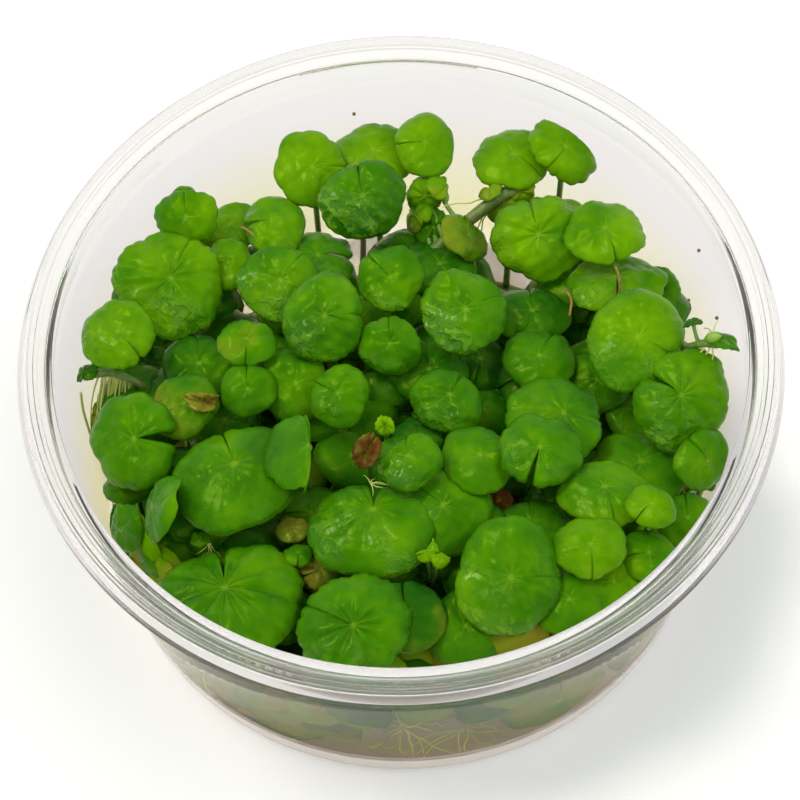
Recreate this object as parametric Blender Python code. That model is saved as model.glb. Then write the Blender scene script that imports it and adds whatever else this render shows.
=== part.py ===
"""Brazilian pennywort: creeping stems and round notched leaves, growing in a clear round tub."""

import math
from collections import namedtuple

import bmesh
import bpy
from mathutils import Vector

MM = 0.001

# Tub, in millimetres
RIM_DIAMETER = 117.0
TUB_HEIGHT = 53.5
BASE_DIAMETER = 98.8
WALL_TOP_DIAMETER = 107.6
WALL_TOP_HEIGHT = 46.0
WALL_THICKNESS = 0.8
FLOOR_THICKNESS = 0.9
CORNER_RADIUS = 2.2
COLLAR_STEP = 0.5
LIP_WIDTH = 3.0
SKIRT_DEPTH = 2.9
TUB_SEGMENTS = 36

# Stems and leaves, in millimetres and degrees
STEM_RADIUS = 0.9
STEM_SIDES = 5
STEM_STEPS = 3
STALK_RADIUS = 0.55
STALK_FLARE = 1.05
LEAF_THICKNESS = 0.5
HUB_THICKNESS = 0.9
HUB_SIDES = 5
TOUCH_GAP = 0.3
WALL_GAP = 0.6
WALL_TURN = 1.5
NOTCH_HALF_ANGLE = 8.0
DOME = 0.18
SIDE_WIDENING = 0.05
SCALLOP_DEPTH = 0.05
MID_REACH = 0.56
LARGE_LEAF = 8.0
SMALL_LEAF = 6.1

# A leaf's hub stands at x, y, z; radius is the blade's; notch is the plan heading of its notch;
# lean_to and lean tip the blade; offset moves the hub towards the notch; fold bends both halves down
# from the line of the notch; stem carries the stalk, and foot is the plan point that the stalk heads
# for (None: straight below the hub)
Leaf = namedtuple("Leaf", "x y z radius notch lean_to lean offset fold stem foot")

STEMS = {
    "stem_front": ((-36, -28, 2.1), (-19, -38, 4), (0, -41, 6), (19, -38, 4), (36, -28, 2.1)),
    "stem_front_middle": ((-42, -16, 2.1), (-22, -25, 9), (0, -27, 13), (22, -24, 9), (42.5, -15, 2.1)),
    "stem_middle": ((-46, -3, 2.1), (-24, -11, 12), (0, -11, 18), (23, -9, 12), (46, -1, 2.1)),
    "stem_back_middle": ((-45, 10, 2.1), (-23, 6, 12), (0, 8, 18), (24, 6, 12), (45, 11, 2.1)),
    "stem_back": ((-40, 23, 2.1), (-20, 22, 9), (0, 24, 14), (21, 21, 9), (40, 23, 2.1)),
    "stem_far_back": ((-28, 35, 2.1), (-12, 38, 7), (5, 40, 9), (18, 37, 7), (28.5, 35, 2.1)),
}

LEAVES = {
    # Back edge of the plant, left to right
    "leaf_back_01": Leaf(-13, 40, 43, 6.5, 0, -80, 18, 0.05, 0, "stem_far_back", None),
    "leaf_back_02": Leaf(-5, 32, 46, 7, 95, -90, 22, 0.05, 0, "stem_far_back", None),
    "leaf_back_03": Leaf(-3, 45, 40, 7, -90, -90, 0, 0, 0, "stem_far_back", None),
    "leaf_back_04": Leaf(5.5, 44, 43, 5.5, 180, -60, 12, 0.05, 0, "stem_far_back", None),
    "leaf_back_05": Leaf(20, 41, 43, 6.5, -40, 90, 2, 0.05, 0, "stem_far_back", None),
    "leaf_back_06": Leaf(28.5, 40.5, 45, 6, -130, -40, 18, 0.05, 0, "stem_far_back", (28, 36)),
    "leaf_back_07": Leaf(23, 24.5, 44, 7.5, 100, -90, 24, 0.05, 0, "stem_back", None),
    "leaf_back_08": Leaf(33.5, 24, 46, 6.5, -75, 90, 2, 0, 0, "stem_far_back", (25, 36)),
    # Right side
    "leaf_right_01": Leaf(35, 17.5, 42, 7.8, -90, 90, 20, 0, 0, "stem_back", None),
    "leaf_right_03": Leaf(37, 3, 47, 8, -30, -90, 14, 0.05, 0, "stem_back_middle", (43, 11)),
    "leaf_right_04": Leaf(43, -6.5, 45, 8, 140, -70, 20, 0.1, 0, "stem_middle", None),
    "leaf_right_05": Leaf(46.5, -16.5, 42, 5, 135, -45, 40, 0, 0, "stem_front_middle", None),
    "leaf_right_06": Leaf(36.5, -14.5, 39, 7.6, -130, 90, 6, 0, 0, "stem_middle", None),
    # Left side
    "leaf_left_02": Leaf(-33.5, 30, 45, 5, 90, -95, 28, 0, 0, "stem_back", (-39, 23)),
    "leaf_left_03": Leaf(-27, 32.5, 38.5, 5.2, -60, 90, 5, 0, 0, "stem_far_back", (-23, 36)),
    "leaf_left_04": Leaf(-27, 23.5, 41, 4.3, 180, -100, 12, 0, 0, "stem_back", None),
    "leaf_left_05": Leaf(-20, 30.5, 42, 5.5, 180, 90, 0, 0.1, 0, "stem_far_back", None),
    "leaf_left_06": Leaf(-36, 19.5, 43.5, 9, 65, -80, 20, 0.1, 0, "stem_back", None),
    "leaf_left_07": Leaf(-44, 8.5, 46, 6, -50, -100, 8, 0.05, 0, "stem_back_middle", None),
    "leaf_left_09": Leaf(-34, -2.5, 42, 5.5, -20, -90, 8, 0, 0, "stem_middle", None),
    "leaf_left_10": Leaf(-41.5, -9, 43, 7.5, 0, -120, 20, 0.1, 0, "stem_middle", None),
    "leaf_left_11": Leaf(-38.5, -21, 43.5, 5.8, 90, 175, 62, 0, 0, "stem_front_middle", None),
    # Middle
    "leaf_middle_01": Leaf(-12.5, 25, 40, 7, 0, 90, 12, 0.1, 0, "stem_back", None),
    "leaf_middle_02": Leaf(-18.5, 18, 44, 6.5, 50, -100, 20, 0.1, 0, "stem_back", None),
    "leaf_middle_03": Leaf(-11.5, 9.5, 46.5, 7, 0, -90, 20, 0.05, 0, "stem_back_middle", None),
    "leaf_middle_04": Leaf(-1, 17, 45, 5.5, 130, -90, 20, 0, 0, "stem_back", None),
    "leaf_middle_06": Leaf(-1.5, 6, 43, 5, 90, -90, 28, 0.1, 0, "stem_back_middle", (-6, 8)),
    "leaf_middle_07": Leaf(10.5, 10, 46, 7, 20, -95, 18, 0.05, 0, "stem_back_middle", None),
    "leaf_middle_09": Leaf(22, 4.5, 40, 6, 60, 90, 2, 0, 0, "stem_back_middle", None),
    "leaf_middle_11": Leaf(-24, 7.5, 44, 4.5, -95, -90, 5, -0.1, 0, "stem_back_middle", None),
    "leaf_middle_12": Leaf(-24, -0.5, 42, 4.5, 90, -90, 18, 0, 0, "stem_middle", None),
    "leaf_middle_13": Leaf(-16.5, 1, 40.5, 6, 0, -100, 18, 0.1, 0, "stem_back_middle", None),
    "leaf_middle_14": Leaf(-10, -3, 44, 5, 145, -90, 14, 0.1, 0, "stem_middle", None),
    "leaf_middle_15": Leaf(7.5, -3.5, 43, 5.5, 60, -90, 14, 0.2, 0, "stem_middle", None),
    "leaf_middle_16": Leaf(25, -7.5, 43, 8.0, 0, 90, 8, 0.2, 0, "stem_middle", None),
    # Front
    "leaf_front_01": Leaf(-14, -15, 50, 6.3, 90, 0, 14, 0, 50, "stem_middle", (-13, -12)),
    "leaf_front_02": Leaf(-26, -15, 45, 9.7, 105, 90, 2, 0.12, 0, "stem_middle", None),
    "leaf_front_03": Leaf(-27.5, -35, 44, 11.5, 95, 90, 12, 0.05, 0, "stem_front", None),
    "leaf_front_04": Leaf(-5, -23.5, 45, 9, 85, 90, 2, 0.3, 0, "stem_front_middle", None),
    "leaf_front_05": Leaf(5.5, -22.5, 43, 7, 135, -90, 8, 0.15, 0, "stem_front_middle", None),
    "leaf_front_06": Leaf(0.5, -16.5, 48, 5, 90, -90, 8, 0.1, 0, "stem_middle", None),
    "leaf_front_07": Leaf(11.5, -15, 44.5, 6, 0, 90, 4, 0.05, 0, "stem_middle", None),
    "leaf_front_08": Leaf(20.5, -16, 48, 6.5, -110, -90, 2, 0.05, 0, "stem_front_middle", (20.5, -22)),
    "leaf_front_09": Leaf(15, -37, 47, 8.5, -5, -90, 26, 0.05, 0, "stem_front", None),
    "leaf_front_10": Leaf(27, -32, 47, 5.4, -90, -90, 6, 0, 0, "stem_front_middle", (27, -23)),
    "leaf_front_11": Leaf(23.5, -39, 43, 5.5, 150, -90, 12, 0, 0, "stem_front", (18, -37)),
    "leaf_front_13": Leaf(30, -21.5, 45, 6.7, -80, 90, 10, 0, 0, "stem_front_middle", None),
    "leaf_front_14": Leaf(36.5, -26, 47.5, 3.8, -140, -90, 0, 0, 0, "stem_front", (36, -28)),
    "leaf_front_17": Leaf(-8.5, -43, 46, 8.6, 150, -90, 12, 0, 0, "stem_front", None),
    "leaf_front_20": Leaf(-22, -42.5, 12, 8.5, 70, -115, 68, 0.1, 0, "stem_front", None),
    "leaf_front_21": Leaf(22.5, -43.5, 15, 8.5, 110, -64, 74, 0.1, 0, "stem_front", None),
}

# The smaller, lower leaves, each grown in one piece with its stem
SMALL_LEAVES = {
    "back_09": Leaf(28, 32.5, 39, 4.5, -90, 60, 25, 0, 0, "stem_far_back", (22, 36)),
    "back_10": Leaf(12, 27.5, 40, 4.5, 90, 0, 35, 0, 0, "stem_back", None),
    "right_02": Leaf(41.5, 16, 38.5, 4.5, 180, -90, 15, 0, 0, "stem_back", None),
    "right_07": Leaf(43, -24, 38, 4.8, 90, -45, 8, 0, 0, "stem_front_middle", None),
    "right_08": Leaf(31, 1.5, 37, 5.6, 90, -90, 5, 0, 0, "stem_back_middle", None),
    "left_01": Leaf(-34.5, 36, 41.5, 2.8, 180, 90, 0, 0, 0, "stem_far_back", None),
    "left_08": Leaf(-32, 6.5, 38.5, 6, 90, -90, 5, 0, 0, "stem_back_middle", None),
    "left_12": Leaf(-44, -21.5, 37, 4, 90, -150, 55, 0, 0, "stem_front_middle", None),
    "middle_05": Leaf(7, 23.5, 38, 6, -90, 90, 5, 0, 0, "stem_back", None),
    "middle_08": Leaf(21.5, 14, 38, 6, 90, 90, 5, 0, 0, "stem_back_middle", None),
    "middle_10": Leaf(4.5, 4, 38, 6.2, 90, -90, 8, 0, 0, "stem_back_middle", None),
    "front_12": Leaf(30.5, -36, 42, 4.8, 165, -45, 10, 0.1, 0, "stem_front", None),
    "front_15": Leaf(36, -32, 43, 4.3, 180, -45, 5, 0, 0, "stem_front", None),
    "front_16": Leaf(19, -24, 39, 6, 90, 90, 12, 0, 0, "stem_front_middle", None),
    "front_18": Leaf(-1, -40.5, 43, 6, 90, -90, 10, 0, 0, "stem_front", None),
    "front_19": Leaf(8, -41.5, 40.5, 6, 90, -90, 10, 0, 0, "stem_front", None),
}

# The leaves of the layer below, which the others mostly hide; plainer, and grown in one piece with the stems
LOWER_LEAVES = {
    # Front
    "low_01": Leaf(-20, -25, 31, 9.5, 150, 40, 6, 0, 0, "stem_front_middle", None),
    "low_02": Leaf(-16, -37.5, 27, 7.5, -60, -90, 8, 0, 0, "stem_front", None),
    "low_03": Leaf(-36, -28, 30, 6.5, 40, -140, 10, 0, 0, "stem_front", (-33, -30)),
    "low_04": Leaf(-32.5, -12, 32, 6, 0, 180, 8, 0, 0, "stem_middle", None),
    "low_06": Leaf(-6, -15, 31.5, 6, 90, -90, 6, 0, 0, "stem_middle", None),
    "low_07": Leaf(6, -16.5, 29, 5.8, 0, 0, 8, 0, 0, "stem_middle", None),
    "low_08": Leaf(12.5, -29, 32, 7, -90, -60, 8, 0, 0, "stem_front_middle", None),
    "low_09": Leaf(2, -32.5, 27.5, 7.8, -100, -90, 10, 0, 0, "stem_front_middle", None),
    # Middle
    "low_12": Leaf(27, -14, 33, 6, -90, 90, 6, 0, 0, "stem_front_middle", (26, -22)),
    "low_13": Leaf(17, -8, 29.5, 7, -120, -90, 6, 0, 0, "stem_middle", None),
    "low_14": Leaf(15, 2, 33, 6.8, 90, 0, 8, 0, 0, "stem_back_middle", None),
    "low_15": Leaf(33, -5, 29.5, 6.3, 0, 0, 8, 0, 0, "stem_middle", (30.5, -7.5)),
    "low_23": Leaf(-39, 2, 31, 5.5, 0, 180, 10, 0, 0, "stem_back_middle", None),
    "low_25": Leaf(-4, -1, 32.5, 6.5, 0, -90, 6, 0, 0, "stem_back_middle", None),
    # Back
    "low_16": Leaf(30, 12, 30, 7, 90, 0, 8, 0, 0, "stem_back_middle", None),
    "low_17": Leaf(28, 20, 33.5, 5.5, -90, 90, 6, 0, 0, "stem_back", None),
    "low_18": Leaf(15.5, 16.5, 32, 6.8, 0, 45, 6, 0, 0, "stem_back", None),
    "low_19": Leaf(3, 14, 29.5, 6.8, 90, -90, 6, 0, 0, "stem_back_middle", None),
    "low_20": Leaf(-6.5, 14.5, 33.5, 5.2, 180, 90, 6, 0, 0, "stem_back_middle", (-8.7, 8)),
    "low_21": Leaf(-18, 13, 29.5, 6.3, 90, 180, 6, 0, 0, "stem_back_middle", None),
    "low_22": Leaf(-28, 14, 33, 7, 0, 90, 6, 0, 0, "stem_back_middle", None),
    "low_24": Leaf(-39, 14.5, 30, 6, 0, 150, 10, 0, 0, "stem_back_middle", None),
}


def start_clean():
    """Remove whatever the file opens with."""
    for item in list(bpy.data.objects):
        bpy.data.objects.remove(item, do_unlink=True)


def make_material(name, color, roughness, alpha=1.0):
    """Principled surface with one colour."""
    material = bpy.data.materials.new(name)
    material.use_nodes = True
    shader = material.node_tree.nodes["Principled BSDF"]
    shader.inputs["Base Color"].default_value = (*color, 1.0)
    shader.inputs["Roughness"].default_value = roughness
    shader.inputs["Metallic"].default_value = 0.0
    shader.inputs["Alpha"].default_value = alpha
    return material


def add_object(name, mesh_tool, material, smooth=True):
    """Turn the mesh being built into a scene object, in metres."""
    bmesh.ops.scale(mesh_tool, vec=(MM, MM, MM), verts=mesh_tool.verts)
    bmesh.ops.recalc_face_normals(mesh_tool, faces=mesh_tool.faces)
    mesh = bpy.data.meshes.new(name)
    mesh_tool.to_mesh(mesh)
    mesh_tool.free()
    mesh.materials.append(material)
    for face in mesh.polygons:
        face.use_smooth = smooth
    item = bpy.data.objects.new(name, mesh)
    bpy.context.scene.collection.objects.link(item)
    return item


def arc(centre_r, centre_z, radius, start, end, steps):
    """Points (radius, height) along a round corner."""
    points = []
    for step in range(steps + 1):
        angle = math.radians(start + (end - start) * step / steps)
        points.append((centre_r + radius * math.cos(angle), centre_z + radius * math.sin(angle)))
    return points


def tub_profile():
    """Half section of the tub: up the outside, over the lip, down the inside."""
    rim_r = RIM_DIAMETER / 2
    base_r = BASE_DIAMETER / 2
    top_r = WALL_TOP_DIAMETER / 2
    collar_r = top_r + COLLAR_STEP
    lip_top_z = TUB_HEIGHT
    under_lip_z = TUB_HEIGHT - 1.2
    skirt_z = TUB_HEIGHT - SKIRT_DEPTH
    outside = arc(base_r - CORNER_RADIUS, CORNER_RADIUS, CORNER_RADIUS, -90, 0, 2)
    outside += [
        (top_r, WALL_TOP_HEIGHT),
        (collar_r, WALL_TOP_HEIGHT + 0.6),
        (collar_r + 0.5, under_lip_z - 1.4),
        (rim_r - LIP_WIDTH + 0.6, under_lip_z),
        (rim_r - 1.2, under_lip_z),
        (rim_r - 1.2, skirt_z),
        (rim_r - 0.4, skirt_z),
        (rim_r, skirt_z + 1.4),
        (rim_r, lip_top_z - 0.7),
        (rim_r - 1.1, lip_top_z),
    ]
    inside = [
        (rim_r - LIP_WIDTH, lip_top_z),
        (rim_r - LIP_WIDTH - 0.7, lip_top_z - 0.6),
        (collar_r - WALL_THICKNESS + 0.3, lip_top_z - 2.4),
        (collar_r - WALL_THICKNESS, WALL_TOP_HEIGHT + 1.0),
        (top_r - WALL_THICKNESS, WALL_TOP_HEIGHT + 0.4),
    ]
    inner_corner = CORNER_RADIUS - WALL_THICKNESS
    inside += arc(base_r - CORNER_RADIUS, FLOOR_THICKNESS + inner_corner, inner_corner, 0, -90, 2)
    return [(0.0, 0.0)] + outside + inside + [(0.0, FLOOR_THICKNESS)]


def build_tub(material):
    """Thin moulded tub, turned from its half section."""
    mesh_tool = bmesh.new()
    profile = [mesh_tool.verts.new((r, 0.0, z)) for r, z in tub_profile()]
    edges = [mesh_tool.edges.new(pair) for pair in zip(profile, profile[1:])]
    bmesh.ops.spin(
        mesh_tool,
        geom=profile + edges,
        cent=(0, 0, 0),
        axis=(0, 0, 1),
        angle=math.tau,
        steps=TUB_SEGMENTS,
        use_merge=True,
    )
    bmesh.ops.remove_doubles(mesh_tool, verts=mesh_tool.verts, dist=0.001)
    return add_object("tub", mesh_tool, material)


def stem_route(controls):
    """Smooth line through a stem's bends."""
    points = [Vector(point) for point in controls]
    padded = [points[0] * 2 - points[1]] + points + [points[-1] * 2 - points[-2]]
    route = []
    for before, start, end, after in zip(padded, padded[1:], padded[2:], padded[3:]):
        for step in range(STEM_STEPS):
            t = step / STEM_STEPS
            route.append(
                0.5 * (
                    2 * start
                    + (end - before) * t
                    + (2 * before - 5 * start + 4 * end - after) * t ** 2
                    + (3 * start - before - 3 * end + after) * t ** 3
                )
            )
    route.append(points[-1])
    return route


def add_tube(mesh_tool, route, radius):
    """Closed round tube along a line."""
    ring = None
    for index, point in enumerate(route):
        run = route[min(index + 1, len(route) - 1)] - route[max(index - 1, 0)]
        direction = run.normalized()
        side = Vector((0, 0, 1)).cross(direction).normalized()
        up = direction.cross(side)
        verts = []
        for corner in range(STEM_SIDES):
            turn = math.tau * corner / STEM_SIDES
            verts.append(mesh_tool.verts.new(point + (side * math.cos(turn) + up * math.sin(turn)) * radius))
        if ring is None:
            mesh_tool.faces.new(verts)
        else:
            for corner in range(STEM_SIDES):
                after = (corner + 1) % STEM_SIDES
                mesh_tool.faces.new((ring[corner], ring[after], verts[after], verts[corner]))
        ring = verts
    mesh_tool.faces.new(ring)


def build_stem(name, route, material):
    """Creeping stem: a round tube along its route, joined with the small leaves that it bears."""
    mesh_tool = bmesh.new()
    add_tube(mesh_tool, route, STEM_RADIUS)
    stem = add_object(name, mesh_tool, material)
    for key, leaf in (SMALL_LEAVES | LOWER_LEAVES).items():
        if leaf.stem != name:
            continue
        twig = build_leaf("twig_" + key, leaf, route, material, True)
        twig.hide_render = True
        twig.display_type = "WIRE"
        join = stem.modifiers.new("join_" + key, "BOOLEAN")
        join.operation = "UNION"
        join.solver = "EXACT"
        join.object = twig
    return stem


def nearest_on_route(route, target):
    """Point of a stem's line that is closest to a target in plan, and the way the stem runs there."""
    best = None
    for start, end in zip(route, route[1:]):
        run = (end - start).to_2d()
        share = (target - start.to_2d()).dot(run) / run.length_squared
        point = start.lerp(end, min(max(share, 0.0), 1.0))
        distance = (point.to_2d() - target).length
        if best is None or distance < best[0]:
            best = (distance, point, (end - start).normalized())
    return best[1:]


def blade_axes(leaf):
    """Directions of the blade: towards its notch, across it, and out of its upper face."""
    lean_to, lean, notch = (math.radians(value) for value in (leaf.lean_to, leaf.lean, leaf.notch))
    normal = Vector((math.sin(lean) * math.cos(lean_to), math.sin(lean) * math.sin(lean_to), math.cos(lean)))
    heading = Vector((math.cos(notch), math.sin(notch), 0.0))
    along = (heading - normal * heading.dot(normal)).normalized()
    across = normal.cross(along)
    return along, across, normal


def inner_wall_radius(height):
    """Radius of the tub's inner face at a height."""
    share = min(max((height - CORNER_RADIUS) / (WALL_TOP_HEIGHT - CORNER_RADIUS), 0.0), 1.0)
    outer = BASE_DIAMETER / 2 + (WALL_TOP_DIAMETER - BASE_DIAMETER) / 2 * share
    return outer - WALL_THICKNESS


def keep_off_wall(point):
    """Bend a point that would pass the tub's wall down along the wall; also give how far it would pass."""
    limit = inner_wall_radius(point.z) - WALL_GAP
    reach = point.to_2d().length
    excess = max(reach - limit, 0.0)
    held = min(reach, limit) - 0.05 * excess
    return Vector((point.x * held / reach, point.y * held / reach, point.z - 0.5 * excess)), excess


def blade_point(leaf, angle, share, scallop=0.0, depth=0.0):
    """Point of the blade, at an angle from the notch and a share of the way out to the rim."""
    along, across, normal = blade_axes(leaf)
    turn = math.radians(angle)
    widening = 1 + SIDE_WIDENING * math.cos(2 * turn - math.pi)
    reach = share * leaf.radius * widening * (1 - leaf.offset * math.cos(turn)) * (1 - scallop)
    hub = Vector((leaf.x, leaf.y, leaf.z))
    fold = math.radians(leaf.fold)
    sideways = reach * math.sin(turn)
    fall = DOME * leaf.radius * share ** 2 + abs(sideways) * math.sin(fold)
    point = hub + along * reach * math.cos(turn) + across * sideways * math.cos(fold) - normal * fall
    point, excess = keep_off_wall(point)
    if depth == 0.0:
        return point
    inward = Vector((-point.x, -point.y, 0.0)).normalized()
    under = (-normal).lerp(inward, min(excess / WALL_TURN, 1.0)).normalized()
    return keep_off_wall(point + under * depth)[0]


def ring_angles(count):
    """Angles of points spread round the blade from one side of the notch to the other."""
    sweep = 360 - 2 * NOTCH_HALF_ANGLE
    return [NOTCH_HALF_ANGLE + sweep * index / (count - 1) for index in range(count)]


def zip_rows(mesh_tool, inner, outer):
    """Triangles between two open rows of points with different counts."""
    i = j = 0
    while i < len(inner) - 1 or j < len(outer) - 1:
        next_inner = (i + 1) / (len(inner) - 1)
        next_outer = (j + 1) / (len(outer) - 1)
        if next_outer <= next_inner + 1e-9:
            mesh_tool.faces.new((inner[i], outer[j], outer[j + 1]))
            j += 1
        else:
            mesh_tool.faces.new((inner[i], outer[j], inner[i + 1]))
            i += 1


def stalk_line(leaf, route, grown_in):
    """Start, bend and end of a leaf's stalk, from under the hub to just off its stem or into it."""
    normal = blade_axes(leaf)[2]
    hub = Vector((leaf.x, leaf.y, leaf.z))
    start = hub - normal * HUB_THICKNESS
    target = Vector(leaf.foot if leaf.foot else (leaf.x, leaf.y))
    stem_point, stem_run = nearest_on_route(route, target)
    bend = start.lerp(stem_point, 0.4) - normal * 0.12 * (start - stem_point).length
    bend.x = 0.5 * (bend.x + start.x - normal.x * 3)
    bend.y = 0.5 * (bend.y + start.y - normal.y * 3)
    approach = bend - stem_point
    approach = (approach - stem_run * approach.dot(stem_run)).normalized()
    standoff = 0.0 if grown_in else STEM_RADIUS + TOUCH_GAP
    end = stem_point + approach * standoff
    return start, bend, end, approach


def lobe_count(leaf, plain):
    """How many lobes a leaf's rim has: more on a large leaf, fewest on a plain one."""
    if plain:
        return 5
    return 11 if leaf.radius >= LARGE_LEAF else 9 if leaf.radius >= SMALL_LEAF else 7


def build_leaf(name, leaf, route, material, grown_in=False):
    """One leaf: a domed round blade with scalloped rim and a notch, and its stalk."""
    mesh_tool = bmesh.new()
    new_vert = mesh_tool.verts.new
    plain = leaf in LOWER_LEAVES.values()
    at_wall = math.hypot(leaf.x, leaf.y) + leaf.radius > inner_wall_radius(leaf.z) - WALL_GAP
    lobes = lobe_count(leaf, plain)
    rim = []
    for index, angle in enumerate(ring_angles(2 * lobes - 1)):
        scallop = 0.0 if plain else SCALLOP_DEPTH * (index % 2)
        rim.append(new_vert(blade_point(leaf, angle, 1.0, scallop)))
    hub_share = STALK_FLARE / leaf.radius
    hub_angles = ring_angles(HUB_SIDES)
    mid_angles = ring_angles(lobes)
    upper = [[new_vert(blade_point(leaf, angle, hub_share)) for angle in hub_angles]]
    lower = [[new_vert(blade_point(leaf, angle, hub_share, 0.0, HUB_THICKNESS)) for angle in hub_angles]]
    if at_wall or not plain:
        upper.append([new_vert(blade_point(leaf, angle, MID_REACH)) for angle in mid_angles])
    if at_wall:
        lower.append([new_vert(blade_point(leaf, angle, MID_REACH, 0.0, LEAF_THICKNESS)) for angle in mid_angles])
    for rows in (upper, lower):
        rows.append(rim)
        for inner, outer in zip(rows, rows[1:]):
            zip_rows(mesh_tool, inner, outer)
    for side in (0, -1):
        mesh_tool.faces.new([row[side] for row in upper] + [row[side] for row in lower[-2::-1]])
    hub_top, hub_low = upper[0], lower[0]
    mesh_tool.faces.new(hub_top)
    mesh_tool.faces.new((hub_top[0], hub_top[-1], hub_low[-1], hub_low[0]))
    add_stalk(mesh_tool, leaf, route, hub_low, hub_angles, grown_in)
    return add_object(name, mesh_tool, material)


def add_stalk(mesh_tool, leaf, route, top_ring, angles, grown_in):
    """Extend the hub's underside down to the stem as the stalk."""
    along, across, normal = blade_axes(leaf)
    start, bend, end, approach = stalk_line(leaf, route, grown_in)
    middle = 0.25 * start + 0.5 * bend + 0.25 * end
    previous = top_ring
    for centre, direction in ((middle, (end - start).normalized()), (end, -approach)):
        side = (along - direction * along.dot(direction)).normalized()
        other = side.cross(direction)
        if other.dot(across) < 0:
            other = -other
        ring = []
        for angle in angles:
            turn = math.radians(angle)
            ring.append(mesh_tool.verts.new(
                centre + (side * math.cos(turn) + other * math.sin(turn)) * STALK_RADIUS
            ))
        for index in range(len(ring)):
            after = (index + 1) % len(ring)
            mesh_tool.faces.new((previous[index], previous[after], ring[after], ring[index]))
        previous = ring
    mesh_tool.faces.new(previous)


def build_plant():
    """All stems and leaves."""
    stem_green = make_material("stem_green", (0.13, 0.22, 0.03), 0.45)
    leaf_green = make_material("leaf_green", (0.09, 0.27, 0.01), 0.35)
    routes = {name: stem_route(controls) for name, controls in STEMS.items()}
    for name, route in routes.items():
        build_stem(name, route, stem_green)
    for name, leaf in LEAVES.items():
        build_leaf(name, leaf, routes[leaf.stem], leaf_green)


start_clean()
build_tub(make_material("clear_plastic", (0.86, 0.87, 0.85), 0.08, 0.3))
build_plant()
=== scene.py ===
"""Looks of the Brazilian pennywort in its clear tub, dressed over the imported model."""

import math
from collections import namedtuple

import bpy
import numpy as np
from mathutils import Matrix, Vector


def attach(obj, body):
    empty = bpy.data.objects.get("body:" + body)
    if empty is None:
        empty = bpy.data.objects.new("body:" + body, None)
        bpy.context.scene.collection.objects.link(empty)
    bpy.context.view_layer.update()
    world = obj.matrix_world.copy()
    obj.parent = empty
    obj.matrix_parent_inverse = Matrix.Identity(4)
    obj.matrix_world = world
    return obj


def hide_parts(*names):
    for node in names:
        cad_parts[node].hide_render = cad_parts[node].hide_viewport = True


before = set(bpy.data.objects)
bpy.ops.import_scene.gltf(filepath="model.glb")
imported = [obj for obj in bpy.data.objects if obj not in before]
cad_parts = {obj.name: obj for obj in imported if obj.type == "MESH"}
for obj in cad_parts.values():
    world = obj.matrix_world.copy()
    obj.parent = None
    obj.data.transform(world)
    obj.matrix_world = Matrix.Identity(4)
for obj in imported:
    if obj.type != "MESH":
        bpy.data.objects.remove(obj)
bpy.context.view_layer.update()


# The tub
# A thin one-piece moulding of clear polystyrene: a milky base on a foot ring, a tapered wall, a small step
# out to the collar that a lid grips, an inner ledge, and a flat rim with fine grooves and a flared skirt.
MM = 0.001
RIM_RADIUS = 58.5
TUB_HEIGHT = 53.5
BASE_RADIUS = 49.4
WALL_TOP_RADIUS = 53.8
WALL_TOP_HEIGHT = 46.0
WALL_THICKNESS = 0.8
FLOOR_THICKNESS = 0.9
FOOT_RADIUS = 2.2
FOOT_RING_INNER = 41.5
FOOT_RING_OUTER = 44.6
UNDERSIDE_HEIGHT = 0.35
COLLAR_STEP = 0.5
COLLAR_INNER_RADIUS = 53.05
RIM_THICKNESS = 1.2
SKIRT_DROP = 2.8
LEDGE_DROP = 0.65
LEDGE_RADIUS = 53.3
LEDGE_CORNER = 0.4
GROOVE_HALF_WIDTH = 0.16
TUB_TURNS = 160
# The rim is less clear than the wall from here up and in, and the base below the milky height
RIM_START = 49.0
CLEAR_RIM_RADIUS = 57.7
MILKY_HEIGHT = 6.5
# Where the fine grooves run round the rim, and how deep they are, from the outermost inwards
RIM_GROOVES = ((57.35, 0.22), (56.8, 0.30), (55.95, 0.30), (55.3, 0.42))
WALL_STAIN = (0.85, 0.80, 0.50, 1)
DRIED_DROPS = (0.62, 0.60, 0.44, 1)
BASE_TINT = (0.98, 0.90, 0.84, 1)
LIGHT_THROUGH = (0.93, 0.92, 0.90, 1)


def arc(centre_r, centre_z, radius, start, end, steps):
    """Points (radius, height) along a round corner, its angles in degrees."""
    points = []
    for step in range(steps + 1):
        angle = math.radians(start + (end - start) * step / steps)
        points.append((centre_r + radius * math.cos(angle), centre_z + radius * math.sin(angle)))
    return points


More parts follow.
